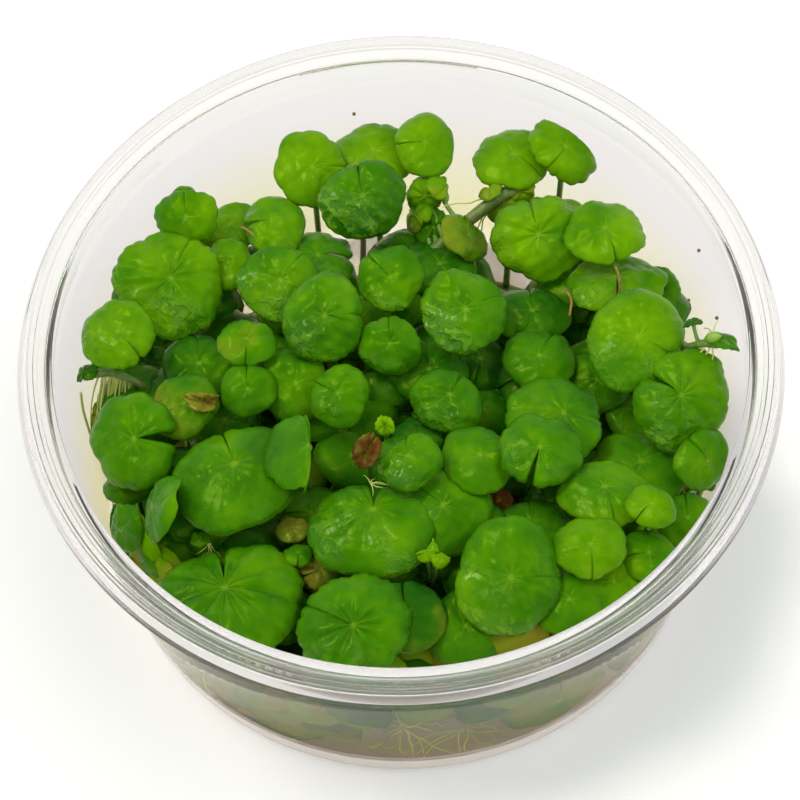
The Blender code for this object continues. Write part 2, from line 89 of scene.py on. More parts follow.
def tub_outline():
    """Half section of the tub: out along the base, up the wall, over the rim and back down the inside."""
    collar_r = WALL_TOP_RADIUS + COLLAR_STEP
    top = TUB_HEIGHT
    rise = (MILKY_HEIGHT - FOOT_RADIUS) / (WALL_TOP_HEIGHT - FOOT_RADIUS)
    milky_r = BASE_RADIUS + (WALL_TOP_RADIUS - BASE_RADIUS) * rise
    outline = [(0, UNDERSIDE_HEIGHT), (FOOT_RING_INNER, UNDERSIDE_HEIGHT)]
    outline += [(FOOT_RING_INNER + 0.8, 0), (FOOT_RING_OUTER, 0)]
    outline += arc(BASE_RADIUS - FOOT_RADIUS, FOOT_RADIUS, FOOT_RADIUS, -90, 0, 8)
    outline += [(milky_r, MILKY_HEIGHT), (WALL_TOP_RADIUS, WALL_TOP_HEIGHT)]
    outline += arc(WALL_TOP_RADIUS + 0.1, WALL_TOP_HEIGHT + 0.7, 0.4, -60, 0, 4)
    outline += [(collar_r - 0.1, top - 2.3)]
    outline += arc(collar_r + 0.5, top - 1.9, 0.6, 180, 90, 5)
    # Under the rim, and round the foot of the skirt
    outline += [(RIM_RADIUS - 1.5, top - RIM_THICKNESS), (RIM_RADIUS - 1.25, top - 1.5)]
    outline += [(RIM_RADIUS - 0.75, top - SKIRT_DROP)]
    outline += arc(RIM_RADIUS - 0.25, top - SKIRT_DROP + 0.1, 0.35, 200, 360, 6)
    # Up the skirt, and in over the grooved rim
    outline += [(RIM_RADIUS - 0.45, top - 0.6)]
    outline += arc(RIM_RADIUS - 0.9, top - 0.25, 0.25, 10, 90, 4)
    for groove, depth in RIM_GROOVES:
        level = top - 0.08 * (RIM_RADIUS - groove) / 2
        outline += [(groove + GROOVE_HALF_WIDTH, level - 0.03), (groove, level - depth)]
        outline += [(groove - GROOVE_HALF_WIDTH, level - 0.05)]
    # Down the ledge and the inside of the collar and wall
    outline += [(54.9, top - 0.22), (54.3, top - 0.45), (LEDGE_RADIUS, top - LEDGE_DROP)]
    outline += arc(LEDGE_RADIUS, top - LEDGE_DROP - LEDGE_CORNER, LEDGE_CORNER, 80, 180, 5)
    outline += [(COLLAR_INNER_RADIUS, WALL_TOP_HEIGHT + 1.0)]
    outline += arc(WALL_TOP_RADIUS - WALL_THICKNESS + 0.15, WALL_TOP_HEIGHT + 0.45, 0.25, 0, -70, 4)
    outline += [(WALL_TOP_RADIUS - WALL_THICKNESS, WALL_TOP_HEIGHT - 0.2)]
    outline += [(milky_r - WALL_THICKNESS, MILKY_HEIGHT)]
    inner = FOOT_RADIUS - WALL_THICKNESS
    outline += arc(BASE_RADIUS - FOOT_RADIUS, FLOOR_THICKNESS + inner, inner, 0, -90, 7)
    outline += [(43.0, FLOOR_THICKNESS), (0, FLOOR_THICKNESS)]
    return outline


def turn_outline(name, outline, turns):
    """Extrude an outline point by point from one vertex, and spin it once round the middle."""
    bpy.ops.object.select_all(action="DESELECT")
    bpy.ops.mesh.primitive_plane_add(size=MM, location=(0, 0, 0))
    piece = bpy.context.object
    piece.name = name
    bpy.ops.object.mode_set(mode="EDIT")
    bpy.ops.mesh.merge(type="CENTER")
    before = (0.0, 0.0)
    for index, (r, z) in enumerate(outline):
        step = ((r - before[0]) * MM, 0, (z - before[1]) * MM)
        if index == 0:
            bpy.ops.transform.translate(value=step)
        else:
            bpy.ops.mesh.extrude_region_move(TRANSFORM_OT_translate={"value": step})
        before = (r, z)
    bpy.ops.mesh.select_all(action="SELECT")
    bpy.ops.mesh.spin(steps=turns, angle=math.tau, center=(0, 0, 0), axis=(0, 0, 1))
    bpy.ops.mesh.select_all(action="SELECT")
    bpy.ops.mesh.remove_doubles(threshold=0.01 * MM)
    bpy.ops.mesh.normals_make_consistent(inside=False)
    bpy.ops.object.mode_set(mode="OBJECT")
    bpy.ops.object.shade_smooth_by_angle(angle=math.radians(40))
    return piece


def add_node(tree, kind, inputs=(), **settings):
    """Add a shader node, set it up, and feed its inputs with values or with other nodes' outputs."""
    item = tree.nodes.new(kind)
    for key, value in settings.items():
        setattr(item, key, value)
    for key, value in dict(inputs).items():
        if isinstance(value, bpy.types.NodeSocket):
            tree.links.new(value, item.inputs[key])
        else:
            item.inputs[key].default_value = value
    return item


def calculate(tree, operation, first, second=0.0):
    """Output of a Math node."""
    return add_node(tree, "ShaderNodeMath", {0: first, 1: second}, operation=operation).outputs[0]


def multiply(tree, first, second):
    """Product of two values."""
    return calculate(tree, "MULTIPLY", first, second)


def remap(tree, value, low, high, to_low, to_high, smooth=False):
    """Output of a Map Range node, clamped."""
    kind = "SMOOTHSTEP" if smooth else "LINEAR"
    inputs = {"Value": value, "From Min": low, "From Max": high, "To Min": to_low, "To Max": to_high}
    return add_node(tree, "ShaderNodeMapRange", inputs, interpolation_type=kind).outputs["Result"]


def blend_colors(tree, factor, first, second):
    """Output of a colour Mix node; its colour inputs are numbers 6 and 7."""
    return add_node(tree, "ShaderNodeMix", {0: factor, 6: first, 7: second}, data_type="RGBA").outputs[2]


def add_noise(tree, place, scale, detail, output="Fac"):
    """Output of a Noise Texture node."""
    inputs = {"Vector": place, "Scale": scale, "Detail": detail}
    return add_node(tree, "ShaderNodeTexNoise", inputs).outputs[output]


def add_bump(tree, shader, height, distance, strength=0.5):
    """Let a height raise a shader's surface; the distance in metres."""
    bump = add_node(tree, "ShaderNodeBump", {"Height": height, "Distance": distance, "Strength": strength})
    tree.links.new(bump.outputs["Normal"], shader.inputs["Normal"])


def new_material(name):
    """A material with nodes; gives it, its node tree and its Principled shader."""
    material = bpy.data.materials.new(name)
    material.use_nodes = True
    tree = material.node_tree
    return material, tree, tree.nodes["Principled BSDF"]


def make_clear_plastic(name, tint_above, bending, clearness, polish):
    """Clear polystyrene: glossy, stained and smeared with dried drops towards its base, milky at the base."""
    material, tree, shader = new_material(name)
    place = add_node(tree, "ShaderNodeTexCoord").outputs["Object"]
    height = add_node(tree, "ShaderNodeSeparateXYZ", {0: place}).outputs["Z"]
    smears = add_noise(tree, place, 55.0, 5.0)
    drops = add_node(tree, "ShaderNodeTexVoronoi", {"Vector": place, "Scale": 260.0}).outputs["Distance"]
    low = remap(tree, height, 0.010, 0.046, 1.0, 0.0)
    smear = remap(tree, smears, 0.52, 0.68, 0.0, 1.0, True)
    spots = multiply(tree, remap(tree, drops, 0.10, 0.22, 1.0, 0.0), smear)
    dirt = calculate(tree, "MAXIMUM", multiply(tree, smear, 0.25), spots)
    haze = multiply(tree, dirt, low)
    tree.links.new(remap(tree, haze, 0.0, 1.0, polish, 0.12), shader.inputs["Roughness"])
    tint = blend_colors(tree, remap(tree, height, 0.016, 0.040, 0.0, 1.0), WALL_STAIN, (*tint_above, 1))
    tint = blend_colors(tree, haze, tint, DRIED_DROPS)
    tint = blend_colors(tree, remap(tree, height, 0.007, 0.012, 1.0, 0.0), tint, BASE_TINT)
    tree.links.new(tint, shader.inputs["Base Color"])
    shader.inputs["IOR"].default_value = bending
    shader.inputs["Transmission Weight"].default_value = clearness
    waves = add_noise(tree, place, 70.0, 2.0)
    ripples = multiply(tree, waves, remap(tree, height, 0.040, 0.047, 1.0, 0.0))
    add_bump(tree, shader, ripples, 0.00003)
    to_lamp = add_node(tree, "ShaderNodeLightPath").outputs["Is Shadow Ray"]
    open_way = add_node(tree, "ShaderNodeBsdfTransparent", {"Color": LIGHT_THROUGH}).outputs["BSDF"]
    surface = add_node(tree, "ShaderNodeMixShader", {0: to_lamp, 1: shader.outputs["BSDF"], 2: open_way})
    tree.links.new(surface.outputs["Shader"], tree.nodes["Material Output"].inputs["Surface"])
    return material


# The wall bends light less than real polystyrene, so that the white surround doesn't veil the plant
clear_plastic = make_clear_plastic(
    "clear_plastic", tint_above=(0.82, 0.785, 0.80), bending=1.04, clearness=0.99, polish=0.01
)
rim_plastic = make_clear_plastic(
    "rim_plastic", tint_above=(0.91, 0.89, 0.88), bending=1.24, clearness=0.93, polish=0.015
)
milky_plastic = make_clear_plastic(
    "milky_plastic", tint_above=(0.9, 0.9, 0.9), bending=1.15, clearness=0.55, polish=0.15
)
tub = turn_outline("clear_tub", tub_outline(), TUB_TURNS)
for plastic in (clear_plastic, rim_plastic, milky_plastic):
    tub.data.materials.append(plastic)
for face in tub.data.polygons:
    in_rim = face.center.z > RIM_START * MM and face.center.to_2d().length < CLEAR_RIM_RADIUS * MM
    in_base = face.center.z < MILKY_HEIGHT * MM
    face.material_index = 1 if in_rim else 2 if in_base else 0
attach(tub, "root")
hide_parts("tub")


# The creeping stems
# Soft round runners that creep through the tub. They are swollen at each node, where the leaf stalks and the
# roots grow from them, and a little reddish in patches, paler and finely ribbed along their length.
STEM_RADIUS = 0.9
STEM_STEPS = 10
NODE_SWELL = 0.32
NODE_REACH = 2.2
STEM_END = 0.55
RIB_GREEN = (0.30, 0.42, 0.10, 1)

STEMS = {
    "stem_front": ((-36, -28, 2.1), (-19, -38, 4), (0, -41, 6), (19, -38, 4), (36, -28, 2.1)),
    "stem_front_middle": ((-42, -16, 2.1), (-22, -25, 9), (0, -27, 13), (22, -24, 9), (42.5, -15, 2.1)),
    "stem_middle": ((-46, -3, 2.1), (-24, -11, 12), (0, -11, 18), (23, -9, 12), (46, -1, 2.1)),
    "stem_back_middle": ((-45, 10, 2.1), (-23, 6, 12), (0, 8, 18), (24, 6, 12), (45, 11, 2.1)),
    "stem_back": ((-40, 23, 2.1), (-20, 22, 9), (0, 24, 14), (21, 21, 9), (40, 23, 2.1)),
    "stem_far_back": ((-28, 35, 2.1), (-12, 38, 7), (5, 40, 9), (18, 37, 7), (28.5, 35, 2.1)),
}


def stem_route(controls):
    """Smooth line through a stem's bends."""
    points = [Vector(point) for point in controls]
    padded = [points[0] * 2 - points[1]] + points + [points[-1] * 2 - points[-2]]
    route = []
    for before, start, end, after in zip(padded, padded[1:], padded[2:], padded[3:]):
        for step in range(STEM_STEPS):
            t = step / STEM_STEPS
            route.append(
                0.5 * (
                    2 * start
                    + (end - before) * t
                    + (2 * before - 5 * start + 4 * end - after) * t ** 2
                    + (3 * start - before - 3 * end + after) * t ** 3
                )
            )
    route.append(points[-1])
    return route


def grow_tubes(name, lines, material, roundness):
    """Closed tubes in one piece, each a line of (point, radius) in millimetres; 4 + 2 * roundness sides."""
    bpy.ops.object.select_all(action="DESELECT")
    bpy.ops.curve.primitive_bezier_curve_add(location=(0, 0, 0))
    piece = bpy.context.object
    piece.name = name
    curve = piece.data
    curve.splines.clear()
    for line in lines:
        spline = curve.splines.new("POLY")
        spline.points.add(len(line) - 1)
        for slot, (point, radius) in zip(spline.points, line):
            slot.co = (*(Vector(point) * MM), 1.0)
            slot.radius = radius
    curve.dimensions = "3D"
    curve.bevel_depth = MM
    curve.bevel_resolution = roundness
    curve.use_fill_caps = True
    curve.materials.append(material)
    bpy.ops.object.convert(target="MESH")
    bpy.ops.object.mode_set(mode="EDIT")
    bpy.ops.mesh.select_all(action="SELECT")
    bpy.ops.mesh.remove_doubles(threshold=0.001 * MM)
    bpy.ops.mesh.normals_make_consistent(inside=False)
    bpy.ops.object.mode_set(mode="OBJECT")
    bpy.ops.object.shade_smooth()
    return piece


def make_stem_skin(name, green, red, roughness):
    """Skin of a stem or stalk: green with a reddish flush, fine ribs and a damp gloss."""
    material, tree, shader = new_material(name)
    place = add_node(tree, "ShaderNodeTexCoord").outputs["Object"]
    flush = add_noise(tree, place, 90.0, 3.0)
    ribs = add_noise(tree, place, 1400.0, 3.0)
    color = blend_colors(tree, remap(tree, flush, 0.48, 0.68, 0.0, 0.8), (*green, 1), (*red, 1))
    color = blend_colors(tree, remap(tree, ribs, 0.40, 0.75, 0.0, 0.45), color, RIB_GREEN)
    tree.links.new(color, shader.inputs["Base Color"])
    gloss = remap(tree, ribs, 0.3, 0.7, roughness - 0.08, roughness + 0.12)
    tree.links.new(gloss, shader.inputs["Roughness"])
    add_bump(tree, shader, ribs, 0.00006)
    return material


def swollen(route, feet, radius):
    """Radius at each point of a stem: swollen around the nodes where its stalks stand."""
    radii = []
    for point in route:
        nearest = min((point - foot).length for foot in feet)
        radii.append(radius * (1 + NODE_SWELL * math.exp(-(nearest / NODE_REACH) ** 2)))
    radii[0] = radii[-1] = STEM_END * radius
    return radii


def nearest_on_route(route, target):
    """Point of a stem's line that is closest to a target in plan."""
    best = None
    for start, end in zip(route, route[1:]):
        run = (end - start).to_2d()
        share = (target - start.to_2d()).dot(run) / run.length_squared
        point = start.lerp(end, min(max(share, 0.0), 1.0))
        distance = (point.to_2d() - target).length
        if best is None or distance < best[0]:
            best = (distance, point)
    return best[1]


# The leaves
# Each leaf is one thin blade, round to kidney-shaped with a deep notch, on a stalk that meets it under the
# notch's inner end. Veins run from there to the dips of the scalloped margin, and the blade swells up
# between them, so that it looks quilted and shines in soft spots. The old leaves turn olive and brown.
STALK_RADIUS = 0.5
BLADE_THICKNESS = 0.24
# Blades that hang below the settling height lie down on the base, no lower than the resting height
SETTLING_HEIGHT = 2.6
RESTING_HEIGHT = 1.25
# Greens of a leaf from deep to light; the deep end also serves as painted shade on the leaves under the
# canopy
DEEP_GREEN = (0.006, 0.085, 0.003, 1)
MID_GREEN = (0.040, 0.185, 0.001, 1)
LIGHT_GREEN = (0.140, 0.330, 0.001, 1)
HUB_GREEN = (0.24, 0.44, 0.02, 1)
EDGE_GREEN = (0.16, 0.36, 0.005, 1)
# Pale green painted on the raised wrinkles of wet patches: painted glints
PAINTED_GLINT_GREEN = (0.22, 0.44, 0.01, 1)
OLD_OLIVE = (0.23, 0.21, 0.018, 1)
DEAD_BROWN = (0.105, 0.034, 0.008, 1)
# How finely blades are divided: the canopy's, the small and lower ones, and two plainer kinds of the layers
BLADE_TURNS = 84
BLADE_RINGS = 18
COARSE_TURNS = 40
COARSE_RINGS = 8
PLAIN_TURNS = 24
PLAIN_RINGS = 4
SIMPLE_TURNS = 18
SIMPLE_RINGS = 3
NOTCH_HALF_ANGLE = -2.0
NOTCH_SPREAD = 1.8
DOME = 0.18
DIMPLE = 0.05
SIDE_WIDENING = 0.05
SCALLOP_DEPTH = 0.055
WAVE_HEIGHT = 0.095
PUCKER_HEIGHT = 0.10
WET_PUCKER_HEIGHT = 0.14
PUCKER_SIZE = 2.1
RIM_CURL = (0.09, 0.19)
CHEEK_DROP = 0.09
LAP_HEIGHT = 0.6
# How far, as a share of its radius, a blade bulges out of round, and in how many places
LOPSIDED = ((0.035, 2), (0.028, 3), (0.018, 5))
LARGE_LEAF = 8.0
SMALL_LEAF = 6.1
WALL_GAP = 0.5
STALK_STEPS = 14
STALK_DROP = 0.9
STALK_BOW = 0.12
STALK_OUTSET = 3
USUAL_TONE = 0.5
# The deep green of the leaves of the layer below is painted shade under the canopy
LOWER_LEAF_SHADE_TONE = 0.15
USUAL_WETNESS = 0.15
LEAF_SEED = 40

# A leaf's hub stands at x, y, z; radius is the blade's; notch is the plan heading of its notch;
# lean_to and lean tip the blade; stem carries the stalk; offset moves the hub towards the notch; fold bends
# both halves down from the line of the notch; foot is the plan point that the stalk heads for, if any
Leaf = namedtuple("Leaf", "x y z radius notch lean_to lean stem offset fold foot", defaults=(0, 0, None))

LEAVES = {
    # Back edge of the plant, left to right
    "back_01": Leaf(-13, 40, 43, 6.5, 0, -80, 18, "stem_far_back", 0.05),
    "back_02": Leaf(-5, 32, 46, 7, 95, -90, 22, "stem_far_back", 0.05),
    "back_03": Leaf(-3, 45, 40, 7, -90, -90, 0, "stem_far_back"),
    "back_04": Leaf(5.5, 44, 43, 5.5, 180, -60, 12, "stem_far_back", 0.05),
    "back_05": Leaf(20, 41, 43, 6.5, -40, 90, 2, "stem_far_back", 0.05),
    "back_06": Leaf(28.5, 40.5, 45, 6, -130, -40, 18, "stem_far_back", 0.05, foot=(28, 36)),
    "back_07": Leaf(23, 24.5, 44, 7.5, 100, -90, 24, "stem_back", 0.05),
    "back_08": Leaf(33.5, 24, 46, 6.5, -75, 90, 2, "stem_far_back", foot=(25, 36)),
    # Right side
    "right_01": Leaf(35, 17.5, 42, 7.8, -90, 90, 20, "stem_back"),
    "right_03": Leaf(37, 3, 47, 8, -30, -90, 14, "stem_back_middle", 0.05, foot=(43, 11)),
    "right_04": Leaf(43, -6.5, 45, 8, 140, -70, 20, "stem_middle", 0.1),
    "right_05": Leaf(46.5, -16.5, 42, 5, 135, -45, 40, "stem_front_middle"),
    "right_06": Leaf(36.5, -14.5, 39, 7.6, -130, 90, 6, "stem_middle"),
    # Left side
    "left_02": Leaf(-33.5, 30, 45, 5, 90, -95, 28, "stem_back", foot=(-39, 23)),
    "left_03": Leaf(-27, 32.5, 38.5, 5.2, -60, 90, 5, "stem_far_back", foot=(-23, 36)),
    "left_04": Leaf(-27, 23.5, 41, 4.3, 180, -100, 12, "stem_back"),
    "left_05": Leaf(-20, 30.5, 42, 5.5, 180, 90, 0, "stem_far_back", 0.1),
    "left_06": Leaf(-36, 19.5, 43.5, 9, 65, -80, 20, "stem_back", 0.1),
    "left_07": Leaf(-44, 8.5, 46, 6, -50, -100, 8, "stem_back_middle", 0.05),
    "left_09": Leaf(-34, -2.5, 42, 5.5, -20, -90, 8, "stem_middle"),
    "left_10": Leaf(-41.5, -9, 43, 7.5, 0, -120, 20, "stem_middle", 0.1),
    "left_11": Leaf(-38.5, -21, 43.5, 5.8, 90, 175, 62, "stem_front_middle"),
    # Middle
    "middle_01": Leaf(-12.5, 25, 40, 7, 0, 90, 12, "stem_back", 0.1),
    "middle_02": Leaf(-18.5, 18, 44, 6.5, 50, -100, 20, "stem_back", 0.1),
    "middle_03": Leaf(-11.5, 9.5, 46.5, 7, 0, -90, 20, "stem_back_middle", 0.05),
    "middle_04": Leaf(-1, 17, 45, 5.5, 130, -90, 20, "stem_back"),
    "middle_06": Leaf(-1.5, 6, 43, 5, 90, -90, 28, "stem_back_middle", 0.1, foot=(-6, 8)),
    "middle_07": Leaf(10.5, 10, 46, 7, 20, -95, 18, "stem_back_middle", 0.05),
    "middle_09": Leaf(22, 4.5, 40, 6, 60, 90, 2, "stem_back_middle"),
    "middle_11": Leaf(-24, 7.5, 44, 4.5, -95, -90, 5, "stem_back_middle", -0.1),
    "middle_12": Leaf(-24, -0.5, 42, 4.5, 90, -90, 18, "stem_middle"),
    "middle_13": Leaf(-16.5, 1, 40.5, 6, 0, -100, 18, "stem_back_middle", 0.1),
    "middle_14": Leaf(-10, -3, 44, 5, 145, -90, 14, "stem_middle", 0.1),
    "middle_15": Leaf(7.5, -3.5, 43, 5.5, 60, -90, 14, "stem_middle", 0.2),
    "middle_16": Leaf(25, -7.5, 43, 8.0, 0, 90, 8, "stem_middle", 0.2),
    # Front
    "front_01": Leaf(-14, -15, 50, 7, 90, 0, 32, "stem_middle", 0, 58, foot=(-13, -12)),
    "front_02": Leaf(-26, -15, 45, 9.7, 105, 90, 2, "stem_middle", 0.12),
    "front_03": Leaf(-27.5, -35, 44, 11.5, 95, 90, 12, "stem_front", 0.05),
    "front_04": Leaf(-5, -23.5, 45, 9, 85, 90, 2, "stem_front_middle", 0.3),
    "front_05": Leaf(5.5, -22.5, 43, 7, 135, -90, 8, "stem_front_middle", 0.15),
    "front_06": Leaf(0.5, -16.5, 48, 5, 90, -90, 8, "stem_middle", 0.1),
    "front_07": Leaf(11.5, -15, 44.5, 6, 0, 90, 4, "stem_middle", 0.05),
    "front_08": Leaf(20.5, -16, 48, 6.5, -110, -90, 2, "stem_front_middle", 0.05, foot=(20.5, -22)),
    "front_09": Leaf(15, -37, 47, 8.5, -5, -90, 26, "stem_front", 0.05),
    "front_10": Leaf(27, -32, 47, 5.4, -90, -90, 6, "stem_front_middle", foot=(27, -23)),
    "front_11": Leaf(23.5, -39, 43, 5.5, 150, -90, 12, "stem_front", foot=(18, -37)),
    "front_13": Leaf(30, -21.5, 45, 6.7, -80, 90, 10, "stem_front_middle"),
    "front_14": Leaf(36.5, -26, 47.5, 3.8, -140, -90, 0, "stem_front", foot=(36, -28)),
    "front_17": Leaf(-8.5, -43, 46, 8.6, 150, -90, 12, "stem_front"),
    "front_20": Leaf(-22, -42.5, 12, 8.5, 70, -115, 68, "stem_front", 0.1),
    "front_21": Leaf(22.5, -43.5, 15, 8.5, 110, -64, 74, "stem_front", 0.1),
    # Smaller, lower leaves
    "back_09": Leaf(28, 32.5, 39, 4.5, -90, 60, 25, "stem_far_back", foot=(22, 36)),
    "back_10": Leaf(12, 27.5, 40, 4.5, 90, 0, 35, "stem_back"),
    "right_02": Leaf(41.5, 16, 38.5, 4.5, 180, -90, 15, "stem_back"),
    "right_07": Leaf(43, -24, 38, 4.8, 90, -45, 8, "stem_front_middle"),
    "right_08": Leaf(31, 1.5, 37, 5.6, 90, -90, 5, "stem_back_middle"),
    "left_01": Leaf(-34.5, 36, 41.5, 2.8, 180, 90, 0, "stem_far_back"),
    "left_08": Leaf(-32, 6.5, 38.5, 6, 90, -90, 5, "stem_back_middle"),
    "left_12": Leaf(-44, -21.5, 37, 4, 90, -150, 55, "stem_front_middle"),
    "middle_05": Leaf(7, 23.5, 38, 6, -90, 90, 5, "stem_back"),
    "middle_08": Leaf(21.5, 14, 38, 6, 90, 90, 5, "stem_back_middle"),
    "middle_10": Leaf(4.5, 4, 38, 6.2, 90, -90, 8, "stem_back_middle"),
    "front_12": Leaf(30.5, -36, 42, 4.8, 165, -45, 10, "stem_front", 0.1),
    "front_15": Leaf(36, -32, 43, 4.3, 180, -45, 5, "stem_front"),
    "front_16": Leaf(19, -24, 39, 6, 90, 90, 12, "stem_front_middle"),
    "front_18": Leaf(-1, -40.5, 43, 6, 90, -90, 10, "stem_front"),
    "front_19": Leaf(8, -41.5, 40.5, 6, 90, -90, 10, "stem_front"),
    # Leaves of the layer below
    "low_01": Leaf(-20, -25, 31, 9.5, 150, 40, 6, "stem_front_middle"),
    "low_02": Leaf(-16, -37.5, 27, 7.5, -60, -90, 8, "stem_front"),
    "low_03": Leaf(-36, -28, 30, 6.5, 40, -140, 10, "stem_front", foot=(-33, -30)),
    "low_04": Leaf(-32.5, -12, 32, 6, 0, 180, 8, "stem_middle"),
    "low_06": Leaf(-6, -15, 31.5, 6, 90, -90, 6, "stem_middle"),
    "low_07": Leaf(6, -16.5, 29, 5.8, 0, 0, 8, "stem_middle"),
    "low_08": Leaf(12.5, -29, 32, 7, -90, -60, 8, "stem_front_middle"),
    "low_09": Leaf(2, -32.5, 27.5, 7.8, -100, -90, 10, "stem_front_middle"),
    "low_12": Leaf(27, -14, 33, 6, -90, 90, 6, "stem_front_middle", foot=(26, -22)),
    "low_13": Leaf(17, -8, 29.5, 7, -120, -90, 6, "stem_middle"),
    "low_14": Leaf(15, 2, 33, 6.8, 90, 0, 8, "stem_back_middle"),
    "low_15": Leaf(33, -5, 29.5, 6.3, 0, 0, 8, "stem_middle", foot=(30.5, -7.5)),
    "low_23": Leaf(-39, 2, 31, 5.5, 0, 180, 10, "stem_back_middle"),
    "low_25": Leaf(-4, -1, 32.5, 6.5, 0, -90, 6, "stem_back_middle"),
    "low_16": Leaf(30, 12, 30, 7, 90, 0, 8, "stem_back_middle"),
    "low_17": Leaf(28, 20, 33.5, 5.5, -90, 90, 6, "stem_back"),
    "low_18": Leaf(15.5, 16.5, 32, 6.8, 0, 45, 6, "stem_back"),
    "low_19": Leaf(3, 14, 29.5, 6.8, 90, -90, 6, "stem_back_middle"),
    "low_20": Leaf(-6.5, 14.5, 33.5, 5.2, 180, 90, 6, "stem_back_middle", foot=(-8.7, 8)),
    "low_21": Leaf(-18, 13, 29.5, 6.3, 90, 180, 6, "stem_back_middle"),
    "low_22": Leaf(-28, 14, 33, 7, 0, 90, 6, "stem_back_middle"),
    "low_24": Leaf(-39, 14.5, 30, 6, 0, 150, 10, "stem_back_middle"),
}

# Leaves that are wet and wrinkled, and how much, which also sets how much painted glint they carry; the
# others only shine a little
WET = {
    "back_02": 1.0, "back_07": 0.5, "right_04": 0.8, "middle_02": 0.8, "middle_03": 0.7, "middle_07": 1.0,
    "middle_04": 0.7, "middle_06": 0.5, "middle_15": 0.6, "middle_14": 0.4, "front_09": 0.8,
    "front_06": 0.8, "front_04": 0.5, "front_05": 0.4, "left_07": 0.5, "left_06": 0.7, "front_08": 0.4,
    "middle_01": 0.6, "right_01": 0.5, "left_05": 0.4, "front_03": 0.3, "front_17": 0.4, "left_10": 0.35,
    "right_03": 0.5, "left_01": 0.4,
}
# How strongly a leaf is drawn in along its veins, as a share of its radius, where it is more than usual
QUILT = {
    "front_03": 0.085, "front_17": 0.07, "left_06": 0.05, "right_04": 0.05, "back_07": 0.06,
    "middle_11": 0.06, "left_11": 0.05, "front_04": 0.045, "middle_16": 0.05, "left_10": 0.05,
}
# How deeply the margin is toothed, as a share of the radius, where it is more than usual
TEETH = {
    "front_17": 0.03, "back_06": 0.05, "back_05": 0.02, "left_02": 0.04, "right_02": 0.03,
    "back_07": 0.025, "front_01": 0.03, "left_12": 0.05, "middle_11": 0.03, "right_04": 0.02,
    "middle_16": 0.02,
}
# Half the angle of a notch that stands open, in degrees; the sides of the others lap over each other
OPEN_NOTCH = {
    "left_10": 9.0, "front_04": 11.0, "front_03": 3.0, "front_08": 4.0, "middle_01": 4.0,
    "middle_15": 3.0, "right_04": 2.0, "left_05": 3.0, "right_01": 2.5,
}
# Brightness of the green from 0, deep, to 1, light; 0.5 where it isn't given. The deep values of the smaller
# leaves that sit lower, under the canopy, are painted shade
TONE = {
    "back_01": 0.9, "back_02": 0.35, "back_03": 0.9, "back_04": 0.9, "back_05": 0.9, "back_06": 0.95,
    "back_07": 0.8, "back_08": 0.95, "back_09": 0.7, "back_10": 0.5, "left_01": 0.7, "left_02": 0.8,
    "left_03": 0.8, "left_04": 0.8, "left_05": 0.85, "left_06": 0.8, "left_07": 0.75, "right_01": 0.75,
    "right_03": 0.75, "right_04": 0.7, "front_10": 0.75, "front_14": 0.85, "front_13": 0.7,
    "front_11": 0.6, "middle_08": 0.2, "middle_10": 0.2, "middle_05": 0.2, "right_08": 0.25,
    "left_08": 0.3, "front_16": 0.2, "front_18": 0.1, "front_19": 0.2,
}
# Leaves that hang behind the front wall and have lost their gloss
BEHIND_WALL = ("front_20", "front_21")
# How far a leaf has turned olive and brown, from 0 to 1
AGE = {
    "front_20": 0.55, "front_21": 0.5, "front_18": 0.3, "left_09": 0.35, "middle_11": 0.15,
    "back_10": 0.35,
}


def blade_axes(leaf):
    """Directions of the blade: towards its notch, across it, and out of its upper face."""
    lean_to, lean, notch = (math.radians(value) for value in (leaf.lean_to, leaf.lean, leaf.notch))
    normal = Vector((math.sin(lean) * math.cos(lean_to), math.sin(lean) * math.sin(lean_to), math.cos(lean)))
    heading = Vector((math.cos(notch), math.sin(notch), 0.0))
    along = (heading - normal * heading.dot(normal)).normalized()
    return along, normal.cross(along), normal


def keep_off_tub(points):
    """Bend points that would pass the tub's wall down along it, and lay the lowest ones on its base."""
    rise = np.clip((points[:, 2] - FOOT_RADIUS) / (WALL_TOP_HEIGHT - FOOT_RADIUS), 0, 1)
    corner = FOOT_RADIUS * np.clip(1 - points[:, 2] / SETTLING_HEIGHT, 0, 1) ** 2
    limit = BASE_RADIUS + (WALL_TOP_RADIUS - BASE_RADIUS) * rise - WALL_THICKNESS - WALL_GAP - corner
    reach = np.hypot(points[:, 0], points[:, 1])
    excess = np.maximum(reach - limit, 0)
    held = (np.minimum(reach, limit) - 0.05 * excess) / np.maximum(reach, 1e-9)
    points[:, 0] *= held
    points[:, 1] *= held
    points[:, 2] -= 0.5 * excess
    sunk = np.minimum(points[:, 2] - SETTLING_HEIGHT, 0)
    room = SETTLING_HEIGHT - RESTING_HEIGHT
    points[:, 2] = np.where(sunk < 0, RESTING_HEIGHT + room * np.exp(sunk / room), points[:, 2])
    return points


def ripple(x, y, rng, waves, size):
    """Smooth uneven waves of about one wave in a size, from -1 to 1."""
    total = np.zeros_like(x)
    for _ in range(waves):
        heading, phase = rng.uniform(0, math.tau, 2)
        pitch = math.tau / (size * rng.uniform(0.7, 1.5))
        total += np.sin((x * math.cos(heading) + y * math.sin(heading)) * pitch + phase)
    return total / waves ** 0.5 / 1.6


